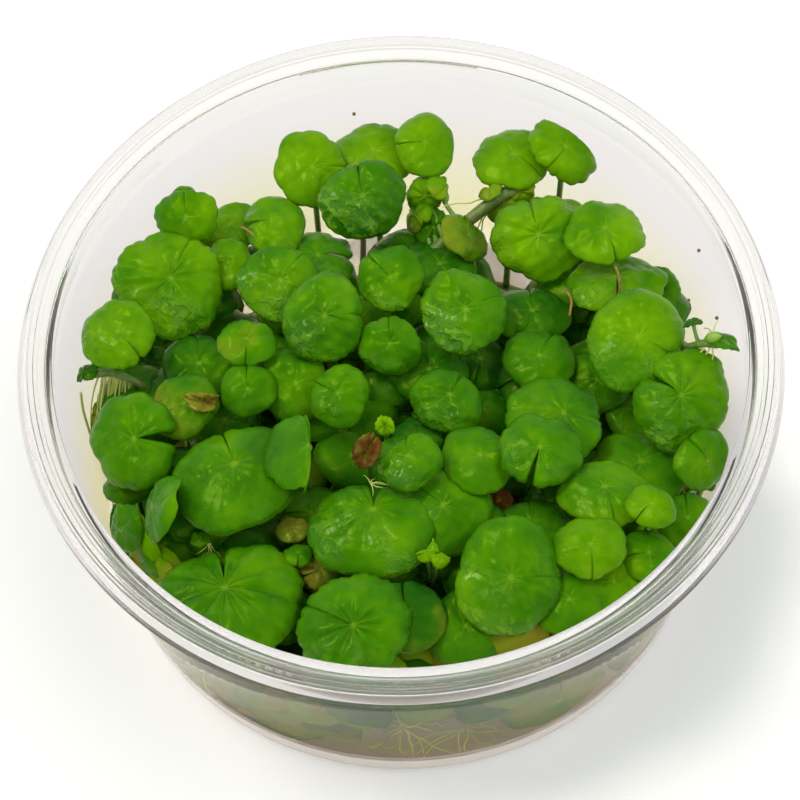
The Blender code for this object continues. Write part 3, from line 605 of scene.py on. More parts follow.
def shape_blade(leaf, u, v, rng, lobes, wet, quilt, teeth_depth, notch_angle):
    """Places of a blade's points, u of the way round from one side of the notch and v out from the hub."""
    along, across, normal = (np.array(axis) for axis in blade_axes(leaf))
    half = math.radians(notch_angle + rng.uniform(-NOTCH_SPREAD, NOTCH_SPREAD))
    lapped = LAP_HEIGHT * np.clip(1 - u / 0.10, 0, 1) * v * (half < math.radians(2))
    uneven = 0.35 / (lobes - 1) * np.sin(math.tau * u + rng.uniform(0, math.tau)) * np.sin(math.pi * u)
    phase = (u + uneven) * (lobes - 1)
    turn = math.tau - half - u * (math.tau - 2 * half)
    crest = np.abs(np.cos(math.pi * phase))
    teeth = np.abs(np.cos(3 * math.pi * phase))
    corner = np.clip(np.minimum(u, 1 - u) / rng.uniform(0.035, 0.07), 0, 1)
    corner = 1 - rng.uniform(0.07, 0.20) * (1 - np.sqrt(1 - (1 - corner) ** 2))
    depth = SCALLOP_DEPTH * rng.uniform(0.3, 1.2)
    margin = 1 - v ** 4 * (depth * (1 - crest) + teeth_depth * (1 - teeth))
    lopsided = 1.0
    for swell, count in LOPSIDED:
        lopsided = lopsided + swell * np.sin(count * turn + rng.uniform(0, math.tau))
    widening = 1 + SIDE_WIDENING * np.cos(2 * turn - math.pi)
    reach = v * leaf.radius * widening * (1 - leaf.offset * np.cos(turn)) * margin * corner * lopsided
    fold = math.radians(leaf.fold)
    sideways = reach * np.sin(turn)
    lengthways = reach * np.cos(turn)
    belly = np.sin(math.pi * np.clip(v, 0, 1) ** 0.8 * 0.86) ** 0.8
    swelling = quilt * leaf.radius * (crest ** 0.8 - 0.5) * belly
    waves = WAVE_HEIGHT * leaf.radius * ripple(sideways, lengthways, rng, 5, 1.1 * leaf.radius) * v
    puckers = ripple(sideways, lengthways, rng, 7, PUCKER_SIZE) * np.clip(v * 3, 0, 1)
    puckers *= PUCKER_HEIGHT + WET_PUCKER_HEIGHT * wet
    near_notch = np.clip(1 - np.minimum(u, 1 - u) / 0.13, 0, 1) ** 2
    cheeks = rng.uniform(0.0, CHEEK_DROP) * leaf.radius * v * near_notch
    curl = rng.uniform(*RIM_CURL) * leaf.radius * v ** 6
    dimple = DIMPLE * leaf.radius * np.exp(-((v / 0.16) ** 2))
    fall = DOME * leaf.radius * v ** 2 + np.abs(sideways) * math.sin(fold)
    fall += curl + cheeks + dimple - swelling - waves - puckers - lapped
    points = np.array((leaf.x, leaf.y, leaf.z)) + np.outer(lengthways, along)
    points += np.outer(sideways * math.cos(fold), across) - np.outer(fall, normal)
    return keep_off_tub(points)


def make_blade_veins():
    """Node group: how much of a vein lies at a place of the blade, from its way round and its way out."""
    group = bpy.data.node_groups.new("blade_veins", "ShaderNodeTree")
    for socket in ("Round", "Out", "Lobes"):
        group.interface.new_socket(socket, in_out="INPUT", socket_type="NodeSocketFloat")
    group.interface.new_socket("Vein", in_out="OUTPUT", socket_type="NodeSocketFloat")
    inputs = group.nodes.new("NodeGroupInput").outputs
    cells = calculate(group, "SUBTRACT", inputs["Lobes"], 1.0)
    phase = calculate(group, "FRACT", multiply(group, inputs["Round"], cells))
    off = calculate(group, "ABSOLUTE", calculate(group, "SUBTRACT", phase, 0.5))
    width = calculate(group, "DIVIDE", multiply(group, inputs["Out"], 6.0), cells)
    main = remap(group, multiply(group, off, width), 0.004, 0.045, 1.0, 0.0, True)
    main = multiply(group, main, remap(group, inputs["Out"], 0.55, 1.0, 1.0, 0.35))
    spread = remap(group, inputs["Out"], 0.42, 1.0, 0.0, 0.36)
    fork = calculate(group, "ABSOLUTE", calculate(group, "SUBTRACT", off, spread))
    fork = remap(group, multiply(group, fork, width), 0.003, 0.020, 1.0, 0.0, True)
    fork = multiply(group, fork, remap(group, inputs["Out"], 0.40, 0.55, 0.0, 0.6))
    result = group.nodes.new("NodeGroupOutput")
    group.links.new(calculate(group, "MAXIMUM", main, fork), result.inputs["Vein"])
    return group


blade_veins = make_blade_veins()


def make_leaf_skin(name, sheen):
    """Skin of a blade: waxy, deep to light green, pale at its hub, wrinkled and painted with glints where
    wet, olive where old.
    """
    material, tree, shader = new_material(name)
    place = add_node(tree, "ShaderNodeTexCoord").outputs["Object"]
    flat_way = add_node(tree, "ShaderNodeUVMap", uv_map="UVMap").outputs["UV"]
    way = add_node(tree, "ShaderNodeSeparateXYZ", {0: flat_way})
    out = way.outputs["Y"]
    tone, wet, age, lobes = (
        add_node(tree, "ShaderNodeAttribute", attribute_name=look).outputs["Fac"]
        for look in ("tone", "wet", "age", "lobes")
    )
    clouds, mottle, patches = (
        add_noise(tree, place, scale, 3.0)
        for scale in (105.0, 420.0, 170.0)
    )
    warp = add_noise(tree, place, 900.0, 2.0, "Color")
    warped = add_node(tree, "ShaderNodeMix", {0: 0.0012, 4: place, 5: warp}, data_type="VECTOR").outputs[1]
    wrinkles = {"Vector": warped, "Scale": 620.0, "Detail": 2.0, "Distortion": 0.6}
    wrinkled = add_node(tree, "ShaderNodeTexNoise", wrinkles).outputs["Fac"]
    vein_inputs = {"Round": way.outputs["X"], "Out": out, "Lobes": lobes}
    vein = add_node(tree, "ShaderNodeGroup", vein_inputs, node_tree=blade_veins).outputs["Vein"]
    shade = calculate(tree, "ADD", tone, remap(tree, clouds, 0.3, 0.7, -0.34, 0.34))
    shade = calculate(tree, "ADD", shade, remap(tree, mottle, 0.3, 0.7, -0.05, 0.05))
    color = blend_colors(tree, remap(tree, shade, -0.1, 0.5, 0.0, 1.0), DEEP_GREEN, MID_GREEN)
    color = blend_colors(tree, remap(tree, shade, 0.5, 1.2, 0.0, 1.0), color, LIGHT_GREEN)
    hub = remap(tree, out, 0.02, 0.12, 0.42, 0.0, True)
    near_hub = remap(tree, out, 0.05, 0.34, 0.18, 0.0)
    pale = calculate(tree, "MAXIMUM", multiply(tree, vein, near_hub), hub)
    color = blend_colors(tree, pale, color, HUB_GREEN)
    edge = remap(tree, out, 0.96, 1.0, 0.0, 0.35, True)
    color = blend_colors(tree, edge, color, EDGE_GREEN)
    damp = multiply(tree, wet, remap(tree, patches, 0.36, 0.60, 0.0, 1.0, True))
    raised = remap(tree, wrinkled, 0.42, 0.60, 0.0, 1.0, True)
    # Painted highlight: the raised wrinkles of damp patches are lightened as glints
    glints = multiply(tree, damp, remap(tree, raised, 0.3, 1.0, 0.0, 0.38))
    color = blend_colors(tree, glints, color, PAINTED_GLINT_GREEN)
    cloudy_age = calculate(tree, "ADD", age, remap(tree, clouds, 0.3, 0.7, -0.3, 0.3))
    old = remap(tree, cloudy_age, 0.25, 0.75, 0.0, 1.0)
    old = multiply(tree, old, remap(tree, age, 0.0, 0.1, 0.0, 1.0))
    color = blend_colors(tree, old, color, OLD_OLIVE)
    spotted = calculate(tree, "ADD", age, remap(tree, mottle, 0.3, 0.7, -0.2, 0.2))
    brown = remap(tree, spotted, 0.7, 1.0, 0.0, 1.0)
    color = blend_colors(tree, brown, color, DEAD_BROWN)
    tree.links.new(color, shader.inputs["Base Color"])
    dry_roughness = remap(tree, mottle, 0.3, 0.7, 0.25, 0.38)
    roughness = calculate(tree, "SUBTRACT", dry_roughness, multiply(tree, damp, 0.10))
    tree.links.new(roughness, shader.inputs["Roughness"])
    tree.links.new(multiply(tree, damp, 0.40), shader.inputs["Coat Weight"])
    shader.inputs["Coat Roughness"].default_value = 0.12
    shader.inputs["Specular IOR Level"].default_value = sheen
    shader.inputs["Specular Tint"].default_value = (0.70, 1.0, 0.02, 1)
    relief = multiply(tree, multiply(tree, raised, damp), 1.5)
    crease = multiply(tree, vein, remap(tree, out, 0.05, 0.5, 0.30, 0.03))
    relief = calculate(tree, "ADD", relief, multiply(tree, mottle, 0.35))
    relief = calculate(tree, "SUBTRACT", relief, crease)
    add_bump(tree, shader, relief, 0.00025, 0.8)
    return material


def make_master_blade(name, turns, rings):
    """Flat square grid that blades are bent from: across is the way round, up is the way out."""
    bpy.ops.object.select_all(action="DESELECT")
    bpy.ops.mesh.primitive_grid_add(x_subdivisions=turns, y_subdivisions=rings, size=2)
    master = bpy.context.object
    master.name = name
    return master


def set_look(mesh, name, value):
    """Give a mesh one number of its look: one value for all its points, or one for each."""
    attribute = mesh.attributes.new(name, "FLOAT", "POINT")
    values = np.broadcast_to(np.float32(value), len(mesh.vertices)).astype(np.float32)
    attribute.data.foreach_set("value", values)


def stalk_foot(leaf, route):
    """Point of its stem's line that a leaf's stalk grows from."""
    return nearest_on_route(route, Vector(leaf.foot or (leaf.x, leaf.y)))


def stalk_line(leaf, route, steps):
    """Line of a leaf's stalk from inside its blade down into its stem, with its radius at each point."""
    normal = blade_axes(leaf)[2]
    hub = Vector((leaf.x, leaf.y, leaf.z))
    sink = 1.9 * stalk_radius(leaf) * math.sin(math.radians(max(leaf.fold, 0)))
    start = hub - normal * (0.8 * BLADE_THICKNESS + DIMPLE * leaf.radius + sink)
    foot = stalk_foot(leaf, route)
    low = hub - normal * STALK_DROP
    bend = low.lerp(foot, 0.4) - normal * STALK_BOW * (low - foot).length
    bend.x = 0.5 * (bend.x + low.x - normal.x * STALK_OUTSET)
    bend.y = 0.5 * (bend.y + low.y - normal.y * STALK_OUTSET)
    line = []
    for step in range(steps + 1):
        t = (step / steps) ** 1.3
        flare = 0.9 * math.exp(-step / 0.9) + 0.25 * (step / steps) ** 4
        point = start * (1 - t) ** 2 + bend * 2 * t * (1 - t) + foot * t ** 2
        line.append((point, stalk_radius(leaf) * (1 + flare)))
    return line


def stalk_radius(leaf):
    """Radius of a leaf's stalk: thinner under the smallest leaves."""
    return STALK_RADIUS * min(1.0, 0.4 + 0.12 * leaf.radius)


def bend_blade(leaf, looks, seed, master, quilt, teeth, notch_angle):
    """Copy the flat master blade and bend the copy into one leaf's shape."""
    rng = np.random.default_rng(seed)
    lobes = 11 if leaf.radius >= LARGE_LEAF else 9 if leaf.radius >= SMALL_LEAF else 7
    if quilt is None:
        quilt = 0.004 + 0.024 * rng.uniform() ** 2
    bpy.ops.object.select_all(action="DESELECT")
    master.select_set(True)
    bpy.context.view_layer.objects.active = master
    bpy.ops.object.duplicate()
    blade = bpy.context.object
    flat = np.empty(len(blade.data.vertices) * 3, np.float32)
    blade.data.vertices.foreach_get("co", flat)
    flat = flat.reshape(-1, 3)
    u, v = (flat[:, 0] + 1) / 2, (flat[:, 1] + 1) / 2
    points = shape_blade(leaf, u, v, rng, lobes, looks["wet"], quilt, teeth, notch_angle)
    blade.data.vertices.foreach_set("co", (points * MM).ravel().astype(np.float32))
    # Wetness, and with it the painted glints, is strongest on the side of each blade towards the front and
    # left, where the glints of the light fall
    frontward = (0.55 * (leaf.x - points[:, 0]) + 0.83 * (leaf.y - points[:, 1])) / leaf.radius
    wet = looks["wet"] * (0.15 + 0.85 * np.clip(frontward / 0.45, 0, 1))
    for look, value in (("tone", looks["tone"]), ("wet", wet), ("age", looks["age"]), ("lobes", lobes)):
        set_look(blade.data, look, value)
    return blade


def grow_leaves(name, sprigs, master, skin, stalk_steps=STALK_STEPS, stalk_roundness=3):
    """One piece of leaves: a sprig is a leaf, its stem's route, looks, seed, quilt, teeth and notch."""
    blades = []
    lines = []
    for leaf, route, looks, seed, quilt, teeth, notch_angle in sprigs:
        blades.append(bend_blade(leaf, looks, seed, master, quilt, teeth, notch_angle))
        lines.append(stalk_line(leaf, route, stalk_steps))
    bpy.ops.object.select_all(action="DESELECT")
    for blade in blades:
        blade.select_set(True)
    bpy.context.view_layer.objects.active = blades[0]
    if len(blades) > 1:
        bpy.ops.object.join()
    piece = bpy.context.object
    piece.name = name
    piece.data.materials.append(skin)
    bpy.ops.object.mode_set(mode="EDIT")
    bpy.ops.mesh.select_all(action="SELECT")
    bpy.ops.mesh.remove_doubles(threshold=0.001 * MM)
    bpy.ops.object.mode_set(mode="OBJECT")
    thicken = piece.modifiers.new("thickness", "SOLIDIFY")
    thicken.thickness = BLADE_THICKNESS * MM
    thicken.offset = -1
    bpy.ops.object.modifier_apply(modifier=thicken.name)
    bpy.ops.object.shade_smooth()
    grow_tubes(name + "_stalks", lines, stalk_skin, stalk_roundness)
    piece.select_set(True)
    bpy.context.view_layer.objects.active = piece
    bpy.ops.object.join()
    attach(piece, "root")
    return piece


leaf_skin = make_leaf_skin("leaf_skin", 0.28)
dull_leaf_skin = make_leaf_skin("dull_leaf_skin", 0.0)
stalk_skin = make_stem_skin("stalk_skin", (0.11, 0.27, 0.02), (0.17, 0.20, 0.03), 0.38)
stem_skin = make_stem_skin("stem_skin", (0.09, 0.19, 0.02), (0.16, 0.10, 0.03), 0.42)
fine_blade = make_master_blade("flat_fine_blade", BLADE_TURNS, BLADE_RINGS)
coarse_blade = make_master_blade("flat_coarse_blade", COARSE_TURNS, COARSE_RINGS)
routes = {name: stem_route(controls) for name, controls in STEMS.items()}
feet = {name: [] for name in STEMS}
for number, (name, leaf) in enumerate(LEAVES.items()):
    below = name.startswith("low_")
    tone = TONE.get(name, LOWER_LEAF_SHADE_TONE if below else USUAL_TONE)
    looks = {"tone": tone, "wet": WET.get(name, USUAL_WETNESS), "age": AGE.get(name, 0.0)}
    master = coarse_blade if below else fine_blade
    notch_angle = OPEN_NOTCH.get(name, NOTCH_HALF_ANGLE)
    teeth = TEETH.get(name, 0.008 + 0.002 * (number * 7 % 10))
    skin = dull_leaf_skin if name in BEHIND_WALL else leaf_skin
    sprig = (leaf, routes[leaf.stem], looks, LEAF_SEED + number, QUILT.get(name), teeth, notch_angle)
    blade = grow_leaves("blade_" + name, [sprig], master, skin)
    feet[leaf.stem].append(stalk_foot(leaf, routes[leaf.stem]))
    node = "leaf_" + name
    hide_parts(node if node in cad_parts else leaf.stem)

for name, route in routes.items():
    line = list(zip(route, swollen(route, feet[name], STEM_RADIUS)))
    runner = grow_tubes("runner" + name[4:], [line], stem_skin, roundness=4)
    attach(runner, "root")
    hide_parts(name)


# Young shoots and small leaves
# Between the large leaves stand small, crumpled and toothed ones: yellow-green young shoots, the tips of
# runners that reach the wall, and leaves that have withered to olive and brown on their stalks.
SHOOTS = {
    "tip_left": ((-38, 3, 29), (-41.5, 4.3, 36), (-45.8, 5.7, 37.6), (-49.3, 5.9, 37.2)),
    "tip_right": ((39, 4, 33), (43.5, 3, 42), (47, 1.9, 45.8), (48.6, 1.6, 46)),
    "tip_back": ((2, 23.5, 28), (5.6, 26.3, 35.5), (11, 30.6, 37.5), (17.5, 34.8, 39.5), (21.5, 36.5, 39)),
}
SHOOT_RADIUS = {"tip_left": 0.55, "tip_right": 0.5, "tip_back": 1.05}
SMALL_WETNESS = 0.3
SMALL_SEED = 300

SMALL_ONES = {
    "tip_left": Leaf(-50.2, 5.9, 38.4, 2.1, -90, 150, 25, "tip_left", 0, 10, foot=(-49, 5.9)),
    "tip_right": Leaf(50.4, 2.0, 46.8, 3.1, 180, 60, 38, "tip_right", 0, -8, foot=(48.2, 1.7)),
    "tip_right_young": Leaf(45.6, 4.6, 47.8, 1.7, 0, 100, 40, "tip_right", 0, -25, foot=(46.5, 2)),
    "back_one": Leaf(5.2, 35.5, 39.5, 3.3, 0, -90, 40, "tip_back", 0, 20, foot=(8, 28.5)),
    "back_two": Leaf(8.7, 36.8, 40.3, 2.8, 90, 0, 48, "tip_back", 0, 25, foot=(11, 31)),
    "back_three": Leaf(6.4, 30.8, 37.4, 3.7, 45, -90, 22, "tip_back", 0, 10, foot=(7, 27)),
    "back_four": Leaf(3.2, 32.9, 38.2, 2.9, -45, 180, 38, "tip_back", 0, 15, foot=(6, 26.5)),
    "back_five": Leaf(9.2, 30.2, 36.4, 3.2, 90, -60, 20, "tip_back", foot=(8.5, 28.5)),
    "back_six": Leaf(20.9, 35.0, 40.4, 2.7, 0, -90, 35, "tip_back", 0, 15, foot=(20, 36)),
    "back_seven": Leaf(18.0, 33.2, 38.8, 3.1, 90, -120, 25, "tip_back", 0, 10, foot=(16, 34)),
    "back_eight": Leaf(15.6, 35.6, 41.2, 2.3, 180, 120, 50, "tip_back", 0, 20, foot=(15.5, 33.5)),
    "young_middle": Leaf(-2.7, -12.8, 50.6, 1.9, 90, -100, 48, "stem_middle", 0, -38, foot=(-3.5, -14)),
    "young_front_one": Leaf(2.4, -31.9, 46.4, 1.7, 180, 170, 20, "stem_front_middle", 0, 42, foot=(3, -31)),
    "young_front_two": Leaf(5.0, -32.6, 46.0, 1.8, 0, 0, 28, "stem_front_middle", 0, 36, foot=(3.6, -31)),
    "young_front_three": Leaf(3.8, -30.8, 46.7, 1.3, 90, 80, 30, "stem_front_middle", 0, 40, foot=(3.3, -31)),
    "round_left": Leaf(-31.7, -24.4, 38.5, 1.5, 90, -90, 5, "stem_front_middle"),
    "second_middle": Leaf(10.3, -25.0, 40.2, 5.4, 90, -45, 12, "stem_front_middle"),
    "dark_middle": Leaf(2.3, -8.6, 39.6, 4.4, 0, 90, 10, "stem_middle"),
    "small_front": Leaf(-16.8, -28.2, 40, 2.4, -90, 90, 12, "stem_front_middle"),
    "olive_front": Leaf(-17.6, -22.9, 38, 2.7, 60, 90, 12, "stem_front_middle"),
    "olive_low": Leaf(-13.4, -30.2, 38, 3.3, 200, -60, 18, "stem_front_middle"),
    "dead_middle": Leaf(-5.6, -16.2, 49.4, 3.3, 60, -95, 34, "stem_middle", 0, -52, foot=(-4.7, -15)),
    "dead_left": Leaf(-31.0, -2.6, 43.0, 3.1, 160, -75, 56, "stem_middle", 0, -56),
    "dead_front": Leaf(-17.2, -33.0, 33, 4.6, 0, -90, 10, "stem_front"),
    "dead_right": Leaf(13.5, -20.4, 37.5, 3.6, 0, -90, 10, "stem_front_middle"),
}
# The tone of each, its age, how deeply it is toothed and how strongly it is drawn in along its veins
SMALL_LOOKS = {
    "tip_left": (0.3, 0.0, 0.16, 0.10), "tip_right": (0.25, 0.0, 0.20, 0.10),
    "tip_right_young": (0.1, 0.0, 0.2, 0.1), "back_one": (0.9, 0.2, 0.05, 0.12),
    "back_two": (1.0, 0.3, 0.06, 0.12), "back_three": (0.35, 0.1, 0.05, 0.12),
    "back_four": (0.8, 0.25, 0.05, 0.12), "back_five": (0.5, 0.4, 0.05, 0.1),
    "back_six": (1.0, 0.3, 0.10, 0.12), "back_seven": (0.8, 0.4, 0.06, 0.12),
    "back_eight": (1.0, 0.35, 0.06, 0.12), "young_middle": (1.1, 0.0, 0.14, 0.14),
    "young_front_one": (1.3, 0.1, 0.1, 0.1), "young_front_two": (1.3, 0.15, 0.1, 0.1),
    "young_front_three": (1.2, 0.1, 0.1, 0.1), "round_left": (0.8, 0.0, 0.01, 0.02),
    "second_middle": (0.3, 0.0, 0.01, 0.03), "dark_middle": (0.05, 0.0, 0.01, 0.03),
    "small_front": (0.45, 0.0, 0.02, 0.04), "olive_front": (0.3, 0.62, 0.03, 0.06),
    "olive_low": (0.3, 0.66, 0.05, 0.08), "dead_middle": (0.2, 0.95, 0.16, 0.22),
    "dead_left": (0.5, 0.80, 0.13, 0.16), "dead_front": (0.1, 1.1, 0.05, 0.08),
    "dead_right": (0.1, 1.1, 0.05, 0.08),
}

for name, controls in SHOOTS.items():
    routes[name] = stem_route(controls)
    radii = swollen(routes[name], [routes[name][-3]], SHOOT_RADIUS[name])
    shoot = grow_tubes("shoot_" + name, [list(zip(routes[name], radii))], stem_skin, roundness=4)
    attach(shoot, "root")
for number, (name, leaf) in enumerate(SMALL_ONES.items()):
    tone, age, teeth, quilt = SMALL_LOOKS[name]
    looks = {"tone": tone, "wet": SMALL_WETNESS, "age": age}
    sprig = (leaf, routes[leaf.stem], looks, SMALL_SEED + number, quilt, teeth, NOTCH_HALF_ANGLE)
    grow_leaves("young_leaf_" + name, [sprig], coarse_blade, leaf_skin)


# The lower leaves
# Under the canopy the same stems bear smaller, older leaves in layers. Others hang by the front wall, and
# shed ones lie on the floor of the tub, olive and brown. Those of one layer are one piece of foliage.
LAYERS = {
    # Count, lowest and highest hub, smallest and largest radius, how close two hubs come, lean, tone, age;
    # the deep tones are painted shade under the canopy
    "lower_leaves_high": (62, 33.5, 37.5, 4.5, 7.0, 7.4, 24, 0.20, 0.0),
    "lower_leaves_middle": (55, 21.0, 28.0, 5.0, 7.5, 7.8, 28, 0.10, 0.15),
    "lower_leaves_low": (50, 9.0, 17.0, 4.5, 7.0, 7.8, 30, 0.05, 0.6),
    "shed_leaves": (70, 1.8, 4.5, 3.5, 6.5, 5.5, 9, 0.10, 0.95),
}
BACK_EDGE = 27.0
SHED_FOOT_HEIGHT = 1.4
PLAIN_TEETH = 0.006
WALL_LEAVES = 64
WALL_ARC = (202.0, 338.0)
WALL_HEIGHTS = (9, 33)
WALL_RADII = (4.0, 7.0)
WALL_DISTANCES = (1.6, 5.0)
WALL_LEANS = (68, 88)
# Behind the front wall, between these, the base stays bare and the leaves at the wall hang above it
CLEAR_FRONT = (-12.0, 33.0)
CLEAR_FRONT_EDGE = -26
CLEAR_FRONT_TOP = 25.0
LOW_LAYER = 12
LAYER_SEED = 700
WALL_SEED = 720
WALL_LEAF_SEED = 900


def inner_wall_radius(height):
    """Radius of the wall's inner face at a height."""
    return BASE_RADIUS + (WALL_TOP_RADIUS - BASE_RADIUS) * height / WALL_TOP_HEIGHT - WALL_THICKNESS


def scatter_hubs(rng, count, low, high, small, large, gap):
    """Hub places and radii of one layer, spread evenly over the tub up to the canopy's back edge."""
    found = []
    for _ in range(count * 60):
        radius = rng.uniform(small, large)
        z = rng.uniform(low, high)
        reach = (inner_wall_radius(z) - 0.45 * radius) * math.sqrt(rng.uniform())
        heading = rng.uniform(0, math.tau)
        x, y = reach * math.cos(heading), reach * math.sin(heading)
        in_clear_front = y < CLEAR_FRONT_EDGE and CLEAR_FRONT[0] < x < CLEAR_FRONT[1]
        too_close = any(math.hypot(x - other[0], y - other[1]) < gap for other in found)
        if y > BACK_EDGE or (low < LOW_LAYER and in_clear_front) or too_close:
            continue
        found.append((x, y, z, radius))
        if len(found) == count:
            break
    return found


def nearest_stem(x, y):
    """Name of the stem that passes closest to a plan point, and its point there."""
    target = Vector((x, y))
    reached = {name: nearest_on_route(routes[name], target) for name in STEMS}
    name = min(reached, key=lambda key: (reached[key].to_2d() - target).length)
    return name, reached[name]


def grow_layer(name, facts, rng):
    """One layer of lower leaves, joined into one piece."""
    count, low, high, small, large, gap, lean, tone, age = facts
    sprigs = []
    for x, y, z, radius in scatter_hubs(rng, count, low, high, small, large, gap):
        stem, foot = nearest_stem(x, y)
        shed = name == "shed_leaves"
        if not shed:
            z = max(z, foot.z + 4)
        turns = rng.uniform(0, 360, 2)
        tip, fold = rng.uniform(0, lean), rng.uniform(0, 12)
        leaf = Leaf(x, y, z, radius, *turns, tip, stem, 0, fold, (x, y) if shed else None)
        looks = {
            "tone": tone + rng.uniform(-0.1, 0.15),
            "wet": rng.uniform(0, 0.3),
            "age": max(age + rng.uniform(-0.35, 0.35), 0.0) if age else 0.0,
        }
        beneath = [Vector((x - 3, y, SHED_FOOT_HEIGHT)), Vector((x + 3, y, SHED_FOOT_HEIGHT))]
        route = beneath if shed else routes[stem]
        sprigs.append((leaf, route, looks, int(rng.integers(1, 9999)), None, PLAIN_TEETH, NOTCH_HALF_ANGLE))
    kind = (plain_blade, leaf_skin) if name == "lower_leaves_high" else (simple_blade, dull_leaf_skin)
    grow_leaves(name, sprigs, *kind, stalk_steps=6, stalk_roundness=0)


def grow_wall_leaves(rng):
    """The olive leaves that hang behind the front wall, turned towards it."""
    sprigs = []
    for number in range(WALL_LEAVES):
        share = (number + rng.uniform(0.1, 0.9)) / WALL_LEAVES
        heading = math.radians(WALL_ARC[0] + (WALL_ARC[1] - WALL_ARC[0]) * share)
        z = rng.uniform(*WALL_HEIGHTS)
        radius = rng.uniform(*WALL_RADII)
        reach = inner_wall_radius(z) - rng.uniform(*WALL_DISTANCES)
        x, y = reach * math.cos(heading), reach * math.sin(heading)
        if CLEAR_FRONT[0] < x < CLEAR_FRONT[1] and z < CLEAR_FRONT_TOP:
            z = CLEAR_FRONT_TOP + 0.4 * z
        stem = "stem_front" if abs(x) < 34 else nearest_stem(x, y)[0]
        notch, lean = rng.uniform(0, 360), rng.uniform(*WALL_LEANS)
        leaf = Leaf(x, y, z, radius, notch, math.degrees(heading), lean, stem)
        looks = {"tone": rng.uniform(0.7, 1.3), "wet": 0.0, "age": rng.uniform(0.30, 0.60)}
        seed = WALL_LEAF_SEED + number
        sprigs.append((leaf, routes[stem], looks, seed, None, PLAIN_TEETH, NOTCH_HALF_ANGLE))
    grow_leaves("wall_leaves", sprigs, plain_blade, dull_leaf_skin, stalk_steps=6, stalk_roundness=0)


plain_blade = make_master_blade("flat_plain_blade", PLAIN_TURNS, PLAIN_RINGS)
simple_blade = make_master_blade("flat_simple_blade", SIMPLE_TURNS, SIMPLE_RINGS)
for number, (name, facts) in enumerate(LAYERS.items()):
    grow_layer(name, facts, np.random.default_rng(LAYER_SEED + number))
grow_wall_leaves(np.random.default_rng(WALL_SEED))
for flat_blade in (fine_blade, coarse_blade, plain_blade, simple_blade):
    bpy.data.objects.remove(flat_blade)


# The roots
# At the nodes fine pale roots hang down into the tub, some against the wall, where they have fed in the
# wet air; each hangs in its own bends. Those of one node are one piece.
ROOT_STEPS = 12
BUNDLE_ROOTS = 22
BUNDLE_ROOT_RADIUS = 0.17
ROOT_WALL_GAP = 0.35
BUNDLE_SEED = 805
TUFT_SEED = 810
ROOT_CREAM = (0.62, 0.66, 0.20, 1)
ROOT_GREEN = (0.42, 0.50, 0.09, 1)
ROOT_BROWN = (0.16, 0.10, 0.03, 1)
ROOT_TUFTS = {
    # Node, count, how long, how far they spread, drop per length, thickness
    "right": ((48.2, 1.6, 46.2), 9, 5, 0.9, 0.35, 0.14),
    "right_back": ((16.5, 34.5, 40.5), 8, 9, 1.0, 0.30, 0.16),
    "middle": ((-5.2, -20.6, 47.0), 7, 2.6, 1.0, 0.2, 0.09),
    "front": ((3.4, -32.4, 45.2), 4, 4.0, 0.45, 0.9, 0.10),
    "left_front": ((-30.5, -25.2, 38.0), 7, 3.5, 0.9, 0.5, 0.08),
    "low_front": ((-2, -45.5, 12.5), 16, 13, 1.0, 0.28, 0.14),
    "low_front_right": ((8, -45.5, 11), 12, 12, 1.0, 0.25, 0.13),
    "low_left": ((-33, -35.5, 9), 8, 11, 1.0, 0.25, 0.12),
    "low_middle": ((0, -20, 8), 14, 22, 1.0, 0.25, 0.16),
}


def hold_inside_wall(point):
    """Move a root's point that would pass the tub's wall back to it."""
    limit = inner_wall_radius(point.z) - ROOT_WALL_GAP
    reach = point.to_2d().length
    if reach > limit:
        point.x *= limit / reach
        point.y *= limit / reach


def root_line(start, length, spread, drop, rng):
    """A root's line: it leaves its node any way, droops and wanders, and stays inside the tub."""
    heading = rng.uniform(0, math.tau)
    way = Vector((math.cos(heading) * spread, math.sin(heading) * spread, -drop + rng.uniform(-0.3, 0.3)))
    point = Vector(start)
    line = [point.copy()]
    for _ in range(ROOT_STEPS):
        way += Vector(rng.uniform(-0.35, 0.35, 3)) + Vector((0, 0, -0.07))
        point = point + way.normalized() * length / ROOT_STEPS
        hold_inside_wall(point)
        point.z = max(point.z, FLOOR_THICKNESS + 0.3)
        line.append(point.copy())
    return line


def make_root_skin():
    """Skin of the roots: cream to pale green, with brown stretches."""
    material, tree, shader = new_material("root_skin")
    place = add_node(tree, "ShaderNodeTexCoord").outputs["Object"]
    stain = add_noise(tree, place, 180.0, 3.0)
    fuzz = add_noise(tree, place, 2600.0, 2.0)
    color = blend_colors(tree, remap(tree, stain, 0.35, 0.55, 0.0, 1.0), ROOT_CREAM, ROOT_GREEN)
    color = blend_colors(tree, remap(tree, stain, 0.58, 0.72, 0.0, 0.7), color, ROOT_BROWN)
    tree.links.new(color, shader.inputs["Base Color"])
    tree.links.new(remap(tree, fuzz, 0.3, 0.7, 0.45, 0.65), shader.inputs["Roughness"])
    add_bump(tree, shader, fuzz, 0.00004)
    return material


def left_bundle(rng):
    """The dense hanks of young roots that hang side by side from the left-hand runner."""
    lines = []
    for number in range(BUNDLE_ROOTS):
        share = number / (BUNDLE_ROOTS - 1)
        start = Vector((-47.6 + 4.4 * share, 6.2 - 0.6 * share, 37.4 - 0.6 * share))
        fall = Vector((-2.6 + 1.6 * share, -5.6 - 1.2 * rng.uniform(), -8.5 - 3.0 * rng.uniform()))
        sag = Vector((*rng.uniform(-0.6, 0.6, 2), 1.4))
        line = []
        for step in range(ROOT_STEPS + 1):
            t = step / ROOT_STEPS
            point = start + fall * t + sag * 4 * t * (1 - t)
            hold_inside_wall(point)
            line.append((point, BUNDLE_ROOT_RADIUS * (1.1 - 0.6 * t)))
        lines.append(line)
    return lines


